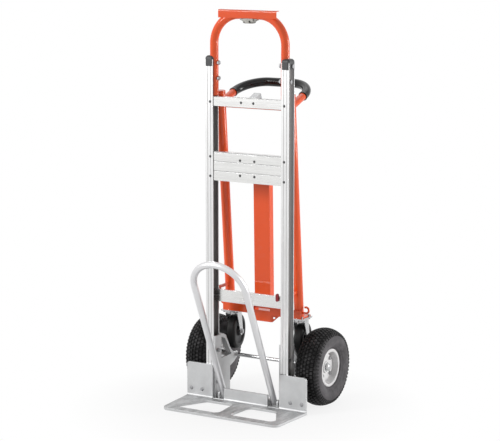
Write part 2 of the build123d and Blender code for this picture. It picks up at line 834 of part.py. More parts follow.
def axle():
    with BuildPart() as piece:
        rod((-axle_end_x, axle_y, axle_z), ACROSS, axle_radius, 2 * axle_end_x)
    save(piece.part, "axle")


def axle_retainers():
    with BuildPart() as piece:
        for side in (-1, 1):
            way = (side, 0, 0)
            near = collar_outer_x + fixed_gap
            far = wheel_x - hub_in - side_play
            rod((side * near, axle_y, axle_z), way, spacer_radius, far - near)
            outer = wheel_x + hub_out + side_play
            rod((side * outer, axle_y, axle_z), way, end_cap_radius, axle_end_x - outer + 1)
            dome((side * (axle_end_x + 1), axle_y, axle_z), way, end_cap_radius, 3)
        rod((-axle_end_x - fixed_gap, axle_y, axle_z), ACROSS, axle_radius + fixed_gap,
            2 * (axle_end_x + fixed_gap), Mode.SUBTRACT)
    save(piece.part, "axle_retainers")


# Main wheels

def wheel_plane(side):
    """Plane through the axle line: first axis outward, second axis up from the axle."""
    return Plane(origin=(side * wheel_x, axle_y, axle_z), x_dir=(side, 0, 0), z_dir=(0, -side, 0))


def wheel_axis(side):
    return Axis((side * wheel_x, axle_y, axle_z), ACROSS)


def crown(across):
    """Radius of the tread's top at a place across the tyre, full over the middle row."""
    edge = row_pitch / 2 - ring_half
    return tyre_radius - tread_fall * (across ** 2 - edge ** 2) / (tread_half ** 2 - edge ** 2)


def crown_points():
    """Points across the tread from its outer to its inner shoulder, down and up each ring groove."""
    points = [(tread_half, crown(tread_half))]
    for ring in range(tread_rows - 1):
        middle = row_pitch * (tread_rows / 2 - 1 - ring)
        near = middle + ring_half
        far = middle - ring_half
        floor = crown(middle) - ring_depth
        points += [(near, crown(near)), (near, floor), (far, floor), (far, crown(far))]
    return points + [(-tread_half, crown(tread_half))]


def cross_groove(row):
    """Outline of the groove between two blocks of a row, from the ring groove on either side."""
    near = row_pitch * (row - tread_rows / 2)
    far = near + row_pitch
    near_floor = crown(near) - cross_groove_depth
    far_floor = crown(far) - cross_groove_depth
    top = tyre_radius + cross_groove_depth
    Polygon((near, near_floor), (far, far_floor), (far, top), (near, top), align=None)


def tread_plane(step):
    """The right wheel's plane, turned about the axle by a number of blocks."""
    return Plane(wheel_plane(1).location * Rotation(360 * step / tread_count, 0, 0))


def tyres():
    inside_half = tyre_half - tyre_wall
    shoulder = tyre_radius - tread_fall
    bead_inner = bead_half - tyre_wall
    belly = (bead_radius + tyre_radius) / 2
    lip = bead_radius + 7
    bevel = (tyre_half - bevel_in, shoulder - bevel_drop)
    with BuildPart() as right:
        with BuildSketch(wheel_plane(1)):
            with BuildLine():
                Polyline((-bead_half, lip), (-bead_half, bead_radius), (-bead_inner, bead_radius),
                         (-bead_inner, lip))
                ThreePointArc((-bead_inner, lip), (-inside_half, belly), (-inside_half + 6, shoulder - 7))
                ThreePointArc((-inside_half + 6, shoulder - 7), (0, tyre_radius - tyre_wall),
                              (inside_half - 6, shoulder - 7))
                ThreePointArc((inside_half - 6, shoulder - 7), (inside_half, belly), (bead_inner, lip))
                Polyline((bead_inner, lip), (bead_inner, bead_radius), (bead_half, bead_radius),
                         (bead_half, lip))
                ThreePointArc((bead_half, lip), (tyre_half, belly), bevel)
                Polyline(bevel, *crown_points(), (-bevel[0], bevel[1]))
                ThreePointArc((-bevel[0], bevel[1]), (-tyre_half, belly), (-bead_half, lip))
            make_face()
        revolve(axis=wheel_axis(1))
        for first in (0, 1):
            with BuildSketch(*[tread_plane(step + first / 2) for step in range(tread_count)]):
                for row in range(first, tread_rows, 2):
                    cross_groove(row)
            extrude(amount=cross_groove_half, both=True, mode=Mode.SUBTRACT)
    save(right.part, "right_tyre")
    with BuildPart() as left:
        mirror(right.part, about=Plane.YZ)
    save(left.part, "left_tyre")


def tube_ring(gap):
    """Closed outline of the inner tube, drawn in by gap from the tyre's inside."""
    half = tyre_half - tyre_wall - gap
    shoulder = tyre_radius - 18 - gap
    foot = bead_half - tyre_wall - gap
    belly = (bead_radius + tyre_radius) / 2
    low = bead_radius + 1 + gap
    lip = bead_radius + 8 + gap / 2
    Polyline((-foot, lip), (-foot + 3, low), (foot - 3, low), (foot, lip))
    ThreePointArc((foot, lip), (half, belly), (half - 6, shoulder))
    ThreePointArc((half - 6, shoulder), (0, tyre_radius - tyre_wall - gap), (6 - half, shoulder))
    ThreePointArc((6 - half, shoulder), (-half, belly), (-foot, lip))


def inner_tube(side, word):
    with BuildPart() as piece:
        with BuildSketch(wheel_plane(side)):
            with BuildLine():
                tube_ring(0.5)
            make_face()
            with BuildLine():
                tube_ring(3.0)
            make_face(mode=Mode.SUBTRACT)
        revolve(axis=wheel_axis(side))
    save(piece.part, word + "_inner_tube")


def rim(side, word):
    barrel = bead_radius - seat_gap
    lip_start = bead_half + seat_gap
    lip_end = lip_start + rim_wall
    back = disc_face - rim_wall
    with BuildPart() as piece:
        for way, hub_end in ((-1, hub_in), (1, hub_out)):
            with BuildSketch(wheel_plane(side)):
                Polygon((way * fixed_gap, bearing_radius), (way * hub_end, bearing_radius),
                        (way * hub_end, hub_radius), (way * disc_face, hub_radius + 1),
                        (way * disc_face, disc_edge), (way * back, disc_edge + rim_wall),
                        (way * disc_groove, disc_edge + 4), (way * disc_groove, barrel - 7),
                        (way * disc_face, barrel - 5), (way * lip_end, barrel - rim_wall),
                        (way * lip_end, rim_lip), (way * lip_start, rim_lip), (way * lip_start, barrel),
                        (way * fixed_gap, barrel - 4), (way * fixed_gap, disc_edge + 2),
                        (way * back, disc_edge - rim_wall), (way * back, hub_radius + 4),
                        (way * fixed_gap, hub_radius + 4), align=None)
            revolve(axis=wheel_axis(side))
        for turn in range(4):
            angle = radians(45 + 90 * turn)
            y = axle_y + rim_bolt_circle * cos(angle)
            z = axle_z + rim_bolt_circle * sin(angle)
            hole((side * wheel_x - hub_in, y, z), ACROSS, rim_bolt_radius + bolt_gap, 2 * hub_in)
        rod((side * (wheel_x + valve_offset), axle_y, axle_z + bead_radius + 2), DOWN,
            valve_radius + bolt_gap, valve_length, Mode.SUBTRACT)
    save(piece.part, word + "_rim")


def rim_bolts(side, word):
    with BuildPart() as piece:
        for turn in range(4):
            angle = radians(45 + 90 * turn)
            y = axle_y + rim_bolt_circle * cos(angle)
            z = axle_z + rim_bolt_circle * sin(angle)
            outer = (side * (wheel_x + disc_face), y, z)
            inner = (side * (wheel_x - disc_face), y, z)
            rod(inner, (side, 0, 0), rim_bolt_radius, 2 * disc_face)
            hexagon(outer, (side, 0, 0), rim_bolt_radius * 1.6, 4.5)
            hexagon(inner, (-side, 0, 0), rim_bolt_radius * 1.6, 5)
    save(piece.part, word + "_rim_bolts")


def hub_bearings(side, word):
    with BuildPart() as piece:
        for way, hub_end in ((-side, hub_in), (side, hub_out)):
            start = (side * wheel_x + way * (hub_end - bearing_width), axle_y, axle_z)
            rod(start, (way, 0, 0), bearing_radius - fixed_gap, bearing_width)
            rod(start, (way, 0, 0), axle_radius + run_gap, bearing_width, Mode.SUBTRACT)
    save(piece.part, word + "_hub_bearings")


def valve_stem(side, word):
    with BuildPart() as piece:
        start = (side * (wheel_x + valve_offset), axle_y, axle_z + bead_radius + 1.2)
        rod(start, DOWN, valve_radius, valve_length - valve_tip)
        rod(moved(start, DOWN, valve_length - valve_tip), DOWN, valve_radius * 0.75, valve_tip)
    save(piece.part, word + "_valve_stem")


# Link arm, its hinge bracket and pins

link_up = (0, (link_top_y - link_low_y) / link_length, (link_top_z - link_low_z) / link_length)


def link_arm():
    middle = (0, (link_top_y + link_low_y) / 2, (link_top_z + link_low_z) / 2)
    side_view = Plane(origin=middle, x_dir=link_up, z_dir=ACROSS)
    front = link_deep / 2
    with BuildPart() as piece:
        for side in (-1, 1):
            with BuildSketch(side_view.offset(side * (link_half - link_wall))):
                SlotCenterToCenter(link_length, link_deep)
            extrude(amount=side * link_wall)
        low = -link_length / 2 - link_web_foot
        high = link_length / 2 - link_web_gap
        with BuildSketch(side_view.offset(-link_half + link_wall)):
            Polygon((low, front), (high, front), (high, front - link_wall), (low, front - link_wall),
                    align=None)
        extrude(amount=2 * (link_half - link_wall))
        for y, z in ((link_top_y, link_top_z), (link_low_y, link_low_z)):
            hole((-link_half, y, z), ACROSS, link_pin_radius + run_gap, 2 * link_half)
    save(piece.part, "link_arm")


def link_hinge_bracket():
    back = crossbar_back_y + hinge_plate
    z_top = max(hinge_bolt_z) + 12
    z_low = min(hinge_bolt_z) - 12
    with BuildPart() as piece:
        box(-hinge_half, hinge_half, crossbar_back_y, back, z_low, z_top)
        for side in (-1, 1):
            start = side * hinge_ear_x
            slab(((back - 1, link_top_z - hinge_ear_drop), (link_top_y, link_top_z - hinge_ear_radius),
                  (link_top_y, link_top_z + hinge_ear_radius), (back - 1, z_top)),
                 start, side * (hinge_ear_x + hinge_ear))
            rod((start, link_top_y, link_top_z), (side, 0, 0), hinge_ear_radius, hinge_ear)
            hole((start, link_top_y, link_top_z), (side, 0, 0), link_pin_radius + fixed_gap, hinge_ear)
            for z in hinge_bolt_z:
                hole((side * hinge_bolt_x, crossbar_back_y, z), BACK,
                     hinge_bolt_radius + bolt_gap, hinge_plate)
    save(piece.part, "link_hinge_bracket")


def hinge_bracket_bolts():
    back = crossbar_back_y + hinge_plate
    with BuildPart() as piece:
        for side in (-1, 1):
            for z in hinge_bolt_z:
                start = (side * hinge_bolt_x, rail_flange, z)
                rod(start, BACK, hinge_bolt_radius, back - rail_flange + 6)
                dome(start, FRONT, hinge_bolt_head, 2.5)
                hexagon((side * hinge_bolt_x, back, z), BACK, hinge_bolt_radius * 1.8, 5)
    save(piece.part, "hinge_bracket_bolts")


def headed_pin(name, y, z, half):
    """A pin across the truck with a head at both ends."""
    with BuildPart() as piece:
        rod((-half, y, z), ACROSS, link_pin_radius, 2 * half)
        for side in (-1, 1):
            rod((side * half, y, z), (side, 0, 0), pin_head_radius, pin_head_height)
    save(piece.part, name)


# Cart frame

def cart_tube(side, word):
    top = cart_axis(side, cart_top_z)
    length = (cart_top_z - base_top_z) * cart_normal
    with BuildPart() as piece:
        rod(top, against(cart_up), cart_radius, length + 20)
        rod(moved(top, cart_up, -cart_plug), against(cart_up), cart_radius - cart_wall, length + 20,
            Mode.SUBTRACT)
        fillet(piece.faces().sort_by(Axis.Z)[-1].edges(), 2.5)
        box(side * cart_x - 40, side * cart_x + 40, cart_y - 60, cart_y + 60, base_top_z - 60,
            base_top_z + fixed_gap, Mode.SUBTRACT)
    save(piece.part, word + "_cart_tube")


def arch_points(start):
    """Corner points of the arched handle's centreline, from a length after the cart tubes."""
    rise = radians(arch_rise)
    way = (0, cos(rise), sin(rise))
    corner = arch_straight + arch_bend
    left = cart_axis(-1, arch_z)
    right = cart_axis(1, arch_z)
    return (moved(left, way, start), moved(left, way, corner),
            moved(right, way, corner), moved(right, way, start))


def cart_handle():
    with BuildPart() as piece:
        bent_tube(arch_points(0), arch_bend, arch_radius, arch_wall)
        cart_tube_clearance(fixed_gap)
    save(piece.part, "cart_handle")


def cart_grip():
    with BuildPart() as piece:
        outer = arch_radius + seat_gap + grip_thickness
        bent_tube(arch_points(grip_start), arch_bend, outer, grip_thickness)
    save(piece.part, "cart_grip")


def latch_strap():
    plane = Plane(origin=cart_axis(0, strap_z), x_dir=ACROSS, z_dir=cart_up)
    with BuildPart() as piece:
        with BuildSketch(plane):
            with Locations((0, (strap_near + strap_far) / 2)):
                Rectangle(2 * cart_x, strap_far - strap_near)
        extrude(amount=strap_height / 2, both=True)
        cart_tube_clearance(fixed_gap)
        bent_tube(arch_points(0), arch_bend, arch_radius + fixed_gap, 0, Mode.SUBTRACT)
    save(piece.part, "latch_strap")


def frame_hooks():
    tip_y = hook_front_y + hook_tip
    arm_z = hook_top_z - hook_bar
    low_z = cord_hook_z - cord_ring
    with BuildPart() as piece:
        slab(((hook_front_y, hook_top_z - hook_drop), (tip_y, hook_top_z - hook_drop), (tip_y, arm_z),
              (cart_y, arm_z), (cart_y, hook_top_z), (hook_front_y + hook_tip / 2, hook_top_z),
              (hook_front_y, hook_top_z - hook_tip / 2)),
             cart_x - hook_width / 2, cart_x + hook_width / 2)
        rod((cart_x, cord_hook_y, low_z), ACROSS, cord_wire, cord_hook_x - cart_x)
        with BuildLine() as curl:
            ThreePointArc((cord_hook_x, cord_hook_y, low_z),
                          (cord_hook_x + cord_ring, cord_hook_y, cord_hook_z),
                          (cord_hook_x - cord_ring / 2, cord_hook_y, cord_hook_z + 0.866 * cord_ring))
        with BuildSketch(Plane(origin=curl.line @ 0, z_dir=curl.line % 0)) as wire:
            Circle(cord_wire)
        sweep(wire.sketch, path=curl.line)
        cart_tube_clearance(fixed_gap)
        mirror(about=Plane.YZ)
    save(piece.part, "frame_hooks")


def caster_base():
    front = base_front_y
    back = base_front_y + base_deep
    low = base_top_z - base_sheet
    with BuildPart() as piece:
        box(-base_half, base_half, front, back, low, base_top_z)
        box(-base_half, base_half, front, front + base_sheet, low, base_lip_z)
        room = link_half + notch_play
        box(-room, room, front - 1, front + base_sheet + 1, link_low_z - link_deep / 2 - notch_play,
            base_lip_z + 1, Mode.SUBTRACT)
        with BuildSketch(Plane.XY.offset(apron_bottom_z)):
            Polygon((-apron_half, front + apron_deep), (-apron_front_half, front), (apron_front_half, front),
                    (apron_half, front + apron_deep), align=None)
            Polygon((-apron_half + 2, front + apron_deep + 1), (-apron_front_half + 1, front + base_sheet),
                    (apron_front_half - 1, front + base_sheet), (apron_half - 2, front + apron_deep + 1),
                    align=None, mode=Mode.SUBTRACT)
        extrude(amount=low - apron_bottom_z)
        for side in (-1, 1):
            with BuildSketch(Plane.XZ.offset(-back)):
                Polygon((side * apron_low_half, apron_bottom_z - 1),
                        (side * (apron_half + 9), apron_bottom_z - 1), (side * (apron_half + 9), low),
                        (side * (apron_half + 1), low), align=None)
            extrude(amount=2 * base_deep, mode=Mode.SUBTRACT)
            slant = hypot(apron_deep, apron_half - apron_front_half)
            way = (-side * apron_deep / slant, (apron_half - apron_front_half) / slant, 0)
            out = (apron_hole_x - apron_front_half) / (apron_half - apron_front_half)
            middle = (side * apron_hole_x, front + out * apron_deep, apron_hole_z)
            hole(moved(middle, way, -3), way, apron_hole, 8)
            for dx in (-caster_bolt_x, caster_bolt_x):
                for dy in (-caster_bolt_y, caster_bolt_y):
                    hole((side * caster_x + dx, caster_y + dy, low), UP,
                         caster_bolt_radius + bolt_gap, base_sheet)
    save(piece.part, "caster_base")


def link_clevis():
    ear_x = link_half + side_play
    reach = clevis_ear_radius
    with BuildPart() as piece:
        box(-ear_x - clevis_ear, ear_x + clevis_ear, link_low_y - reach, link_low_y + reach,
            base_top_z + fixed_gap, base_top_z + clevis_plate)
        for side in (-1, 1):
            slab(((link_low_y - reach, base_top_z + 1), (link_low_y + reach, base_top_z + 1),
                  (link_low_y + reach, link_low_z), (link_low_y - reach, link_low_z)),
                 side * ear_x, side * (ear_x + clevis_ear))
            rod((side * ear_x, link_low_y, link_low_z), (side, 0, 0), reach, clevis_ear)
            hole((side * ear_x, link_low_y, link_low_z), (side, 0, 0),
                 link_pin_radius + fixed_gap, clevis_ear)
    save(piece.part, "link_clevis")


# Casters

def caster_top_plate(side, word):
    low = plate_top_z - caster_plate
    head_top = crown_bottom_z - side_play
    with BuildPart() as piece:
        box(side * caster_x - caster_plate_half_x, side * caster_x + caster_plate_half_x,
            caster_y - caster_plate_half_y, caster_y + caster_plate_half_y, low, plate_top_z - fixed_gap)
        for dx in (-caster_bolt_x, caster_bolt_x):
            for dy in (-caster_bolt_y, caster_bolt_y):
                hole((side * caster_x + dx, caster_y + dy, low), UP,
                     caster_bolt_radius + bolt_gap, caster_plate)
        rod((side * caster_x, caster_y, low), DOWN, race_radius, race_height)
        rod((side * caster_x, caster_y, race_bottom_z), DOWN, king_radius, race_bottom_z - head_top)
        rod((side * caster_x, caster_y, head_top), DOWN, king_head, king_head_height)
    save(piece.part, word + "_caster_plate")


def caster_plate_bolts():
    low = plate_top_z - caster_plate
    with BuildPart() as piece:
        for side in (-1, 1):
            for dx in (-caster_bolt_x, caster_bolt_x):
                for dy in (-caster_bolt_y, caster_bolt_y):
                    x = side * caster_x + dx
                    y = caster_y + dy
                    rod((x, y, low - 5), UP, caster_bolt_radius, base_top_z - low + 5)
                    hexagon((x, y, base_top_z), UP, caster_bolt_radius * 1.7, 4)
                    hexagon((x, y, low), DOWN, caster_bolt_radius * 1.7, 4.5)
    save(piece.part, "caster_plate_bolts")


def turned(part, side):
    """A caster piece, turned about its swivel axis to the way it rests."""
    return part.rotate(Axis((side * caster_x, caster_y, 0), UP), caster_turn)


def caster_yoke(side, word):
    x = side * caster_x
    with BuildPart() as piece:
        with BuildSketch(Plane.XY.offset(crown_bottom_z)):
            with Locations((x, caster_y)):
                Circle(race_radius)
            with Locations((x, caster_y + 4)):
                RectangleRounded(2 * yoke_outer, 2 * race_radius - 6, 3)
            with Locations((x, caster_y)):
                Circle(king_radius + run_gap, mode=Mode.SUBTRACT)
        extrude(amount=yoke_sheet)
        for way in (-1, 1):
            start = x + way * yoke_inner
            slab(((caster_y - 17, crown_bottom_z + 1), (caster_y + 25, crown_bottom_z + 1),
                  (caster_wheel_y + yoke_boss, caster_wheel_z), (caster_wheel_y - yoke_boss, caster_wheel_z)),
                 start, start + way * yoke_sheet)
            rod((start, caster_wheel_y, caster_wheel_z), (way, 0, 0), yoke_boss, yoke_sheet)
            hole((start, caster_wheel_y, caster_wheel_z), (way, 0, 0),
                 caster_axle_radius + fixed_gap, yoke_sheet)
    save(turned(piece.part, side), word + "_caster_yoke")


def caster_axle_bolt(side, word):
    x = side * caster_x
    with BuildPart() as piece:
        rod((x - yoke_outer, caster_wheel_y, caster_wheel_z), ACROSS, caster_axle_radius, 2 * yoke_outer)
        for way in (-1, 1):
            hexagon((x + way * yoke_outer, caster_wheel_y, caster_wheel_z), (way, 0, 0),
                    caster_axle_radius * 1.7, 5)
    save(turned(piece.part, side), word + "_caster_axle_bolt")


def caster_wheel(side, word):
    x = side * caster_x
    half = caster_wheel_half
    outer = caster_wheel_radius
    with BuildPart() as piece:
        plane = Plane(origin=(x, caster_wheel_y, caster_wheel_z), x_dir=ACROSS, z_dir=FRONT)
        with BuildSketch(plane):
            with Locations((0, (outer + caster_axle_radius + run_gap) / 2)):
                Rectangle(2 * half, outer - caster_axle_radius - run_gap)
            fillet(vertices().group_by(Axis.Y)[-1], 9)
            for way in (-1, 1):
                Polygon((way * caster_web_half, caster_hub_radius + 2), (way * caster_web_half, outer - 22),
                        (way * (half + 1), outer - 17), (way * (half + 1), caster_hub_radius), align=None,
                        mode=Mode.SUBTRACT)
            with Locations((0, (caster_hub_radius + caster_axle_radius + run_gap) / 2)):
                Rectangle(2 * caster_hub_half, caster_hub_radius - caster_axle_radius - run_gap)
        revolve(axis=Axis((x, caster_wheel_y, caster_wheel_z), ACROSS))
    save(turned(piece.part, side), word + "_caster_wheel")


for side, word in SIDES:
    rail(side, word)
    rail_cap(side, word)
    axle_bracket(side, word)
    inner_tube(side, word)
    rim(side, word)
    rim_bolts(side, word)
    hub_bearings(side, word)
    valve_stem(side, word)
    cart_tube(side, word)
    caster_top_plate(side, word)
    caster_yoke(side, word)
    caster_axle_bolt(side, word)
    caster_wheel(side, word)

tyres()
top_crossbar()
middle_crossbar()
lower_crossbar()
loop_bumper()
crossbar_screws()
nose_plate()
nose_plate_bolts()
nose_loop()
nose_loop_pins()
loop_handle()
handle_bolts()
handle_top_bar()
catch_housing()
catch_tongue()
latch_fasteners()
latch_bracket()
latch_lever()
axle_bracket_bolts()
axle()
axle_retainers()
link_arm()
link_hinge_bracket()
hinge_bracket_bolts()
headed_pin("link_hinge_pin", link_top_y, link_top_z, link_half + side_play)
headed_pin("link_lower_pin", link_low_y, link_low_z, link_half + side_play + clevis_ear)
cart_handle()
cart_grip()
latch_strap()
frame_hooks()
caster_base()
link_clevis()
caster_plate_bolts()
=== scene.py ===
import json
import math
from collections import namedtuple
import bpy
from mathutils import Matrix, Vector


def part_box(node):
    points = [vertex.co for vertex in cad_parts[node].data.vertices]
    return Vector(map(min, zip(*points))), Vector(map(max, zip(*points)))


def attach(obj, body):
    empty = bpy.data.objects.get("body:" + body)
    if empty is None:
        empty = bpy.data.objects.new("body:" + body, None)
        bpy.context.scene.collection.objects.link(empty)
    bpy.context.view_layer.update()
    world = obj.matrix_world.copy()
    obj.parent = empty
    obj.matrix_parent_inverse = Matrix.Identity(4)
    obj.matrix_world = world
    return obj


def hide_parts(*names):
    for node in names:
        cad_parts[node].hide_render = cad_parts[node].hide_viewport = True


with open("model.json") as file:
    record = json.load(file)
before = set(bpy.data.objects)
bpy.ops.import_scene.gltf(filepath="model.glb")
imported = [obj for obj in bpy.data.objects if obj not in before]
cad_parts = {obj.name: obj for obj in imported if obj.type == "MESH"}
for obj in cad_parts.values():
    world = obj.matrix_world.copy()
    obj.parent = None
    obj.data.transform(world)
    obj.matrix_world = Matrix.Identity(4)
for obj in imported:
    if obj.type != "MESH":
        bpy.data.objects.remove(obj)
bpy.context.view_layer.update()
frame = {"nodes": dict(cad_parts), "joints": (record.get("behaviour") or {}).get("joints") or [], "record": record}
SIDES = ("left", "right")
ACROSS = Vector((1, 0, 0))
FULL_TURN = 2 * math.pi
CORNERS = ((-1, -1), (1, -1), (1, 1), (-1, 1))

# Camera, fitted to the photograph: degrees, metres, and millimetres of lens and sensor
CAMERA_AZIMUTH = 30.3592
CAMERA_PITCH = 9.9284
CAMERA_PLACE = (2.9185, -4.9609, 1.6319)
CAMERA_LENS = 128.69
SENSOR_WIDTH = 36.0

# Lamps: place, width and height in metres, and power in watts
LAMP_TARGET = (0, 0.05, 0.65)
LAMPS = {
    "key_light": ((-2.3, -3.2, 2.4), (1.4, 1.8), 118),
    "fill_light": ((3.3, 1.6, 1.1), (1.0, 1.8), 90),
    "top_light": ((-0.3, 1.6, 3.6), (2.4, 2.0), 14),
}
WORLD_LIGHT = 0.14
BACKDROP_LIGHT = 1.0

# Floor, in metres: distance from the origin and share of plain white there, near and far
FLOOR_REACH = 14.0
FLOOR_LEVEL = -0.0006
WHITE_NEAR = (0.15, 0.80)
WHITE_FAR = (0.60, 1.0)

# Painted shade in recesses, depths in metres: from a rail's front and rear faces, and behind the crossbars' front
RAIL_SKIN = 0.0005
RAIL_FLANGE = 0.0031
GROOVE_REACH = 0.0026

# Tyres: lengths in metres, angles in radians
TYRE_WALL = 0.0075
TYRE_STEPS = 174
TYRE_CREASE = math.radians(38)
BEAD_HALF = 0.0268
BEAD_LIP = 0.006
BEAD_HEIGHT = 0.007
SHOULDER_EDGE = 0.0016
LINING_INSET = 0.006
LINING_DROP = 0.018
WALL_POINTS = 26
LINING_POINTS = 14
GROUND_POINTS = 24
ROOF_POINTS = 16

# Moulded rings of a tyre's wall: place and width as shares of the wall's height, and rise in metres
WALL_RINGS = ((0.16, 0.030, 0.0013), (0.27, 0.012, 0.0006), (0.70, 0.018, 0.0007))

# Tread and the lugs on its shoulders: lengths in metres, angles in radians
TREAD_HALF = 0.036
TREAD_FALL = 0.011
TREAD_DEPTH = 0.0036
TREAD_ROWS = 7
TREAD_COUNT = 58
TREAD_PITCH = 0.011
BLOCK_HALF_WIDTH = 0.0042
BLOCK_HALF_LENGTH = 0.0047
LUG_ACROSS = 0.0382
LUG_DROP = 0.0182
LUG_LEAN = 1.145
LUG_HALF_WIDTH = 0.0056
LUG_HALF_LENGTH = 0.0034
LUG_STAGGER = 0.5
TreadRow = namedtuple("TreadRow", "across radius lean half_width half_length stagger")

# Levels of a block, from foot to top: rise in metres, share of its width and length there, and the
# height, from 0 to 1, that sets the rubber's painted shade near the foot and painted highlight at the top
BLOCK_LEVELS = ((-0.0012, 1.10, 0.2), (TREAD_DEPTH * 0.8, 0.94, 1.0), (TREAD_DEPTH, 0.78, 1.0))
BLOCK_HEIGHTS = [height for _, _, height in BLOCK_LEVELS for _ in CORNERS]
HEIGHT_ATTRIBUTE = "lug_height"

# Grip: lengths in metres, angles in radians
GRIP_RADIUS = 0.0148
GRIP_WALL = 0.0021
GRIP_BEND = 0.090
GRIP_TAIL = 0.005
GRIP_RISE = math.radians(19.4)
GRIP_CUFF = 0.0009
CUFF_RINGS = 2
CUFF_ROUNDING = 0.0004
END_ROUNDING = 0.0008
GRIP_SIDES = 32
GRIP_CREASE = math.radians(50)
BAR_STEPS = 16
BEND_STEPS = 24
TAIL_STEPS = 2

# Colours, as linear values
WHITE = (1.0, 1.0, 1.0, 1.0)
ORANGE = (0.90, 0.096, 0.012)
PALE_ORANGE = (0.90, 0.26, 0.12)
ALUMINIUM = (0.76, 0.76, 0.76)
# Painted shade in the depth of a rail's channel
CHANNEL_SHADE_GREY = (0.13, 0.12, 0.115)
# Painted shade on the floor of the crossbars' grooves
GROOVE_SHADE_GREY = (0.40, 0.40, 0.40)
BAR_ALUMINIUM = (0.76, 0.76, 0.75)
CAST_GREY = (0.57, 0.575, 0.58)
TUBE_GREY = (0.76, 0.76, 0.77)
ZINC = (0.54, 0.545, 0.55)
DARK_ZINC = (0.36, 0.36, 0.37)
# Painted shade: zinc darkened for the catch that sits under the top bar
CATCH_SHADED_ZINC = (0.22, 0.215, 0.20)
SCREW_BLACK = (0.09, 0.09, 0.092)
ENAMEL = (0.80, 0.79, 0.79)
PLASTIC_BLACK = (0.045, 0.046, 0.048)
RUBBER_BLACK = (0.008, 0.0078, 0.008)
WALL_BLACK = (0.125, 0.118, 0.124)
VINYL_BLACK = (0.006, 0.006, 0.0065)
CASTER_BLACK = (0.010, 0.010, 0.010)
HUB_GREY = (0.05, 0.05, 0.052)
BUMPER_RED = (0.34, 0.050, 0.060)
DUST = (0.30, 0.29, 0.27)
FLOOR_DARK = (0.86, 0.86, 0.86)
FLOOR_LIGHT = (0.90, 0.90, 0.90)

# Shares of a wheel's radius: where a tyre's wall darkens, its tread begins and a caster's hub ends
WALL_SHADE = (0.74, 0.90)
TREAD_EDGE = (0.895, 0.925)
HUB_EDGE = (0.660, 0.667)

# Shading: cosines of worn edges and of upward faces, the usual range of noise, the width of a soft
# step in metres, how far drawn lines are stretched, and the samples of a rounded edge
WORN_COSINES = (0.75, 0.995)
UPWARD_COSINES = (0.6, 0.95)
NOISE_RANGE = (0.3, 0.7)
SOFT_STEP = 0.0006
LINE_STRETCH = 0.012
BEVEL_SAMPLES = 4

# Sockets of a Mix node that mixes colours
MIX_FACTOR, MIX_FIRST, MIX_SECOND, MIX_RESULT = 0, 6, 7, 2


def shade(colour, factor=1.0):
    """A colour, made lighter or darker, with full opacity."""
    return tuple(min(1.0, part * factor) for part in colour) + (1.0,)


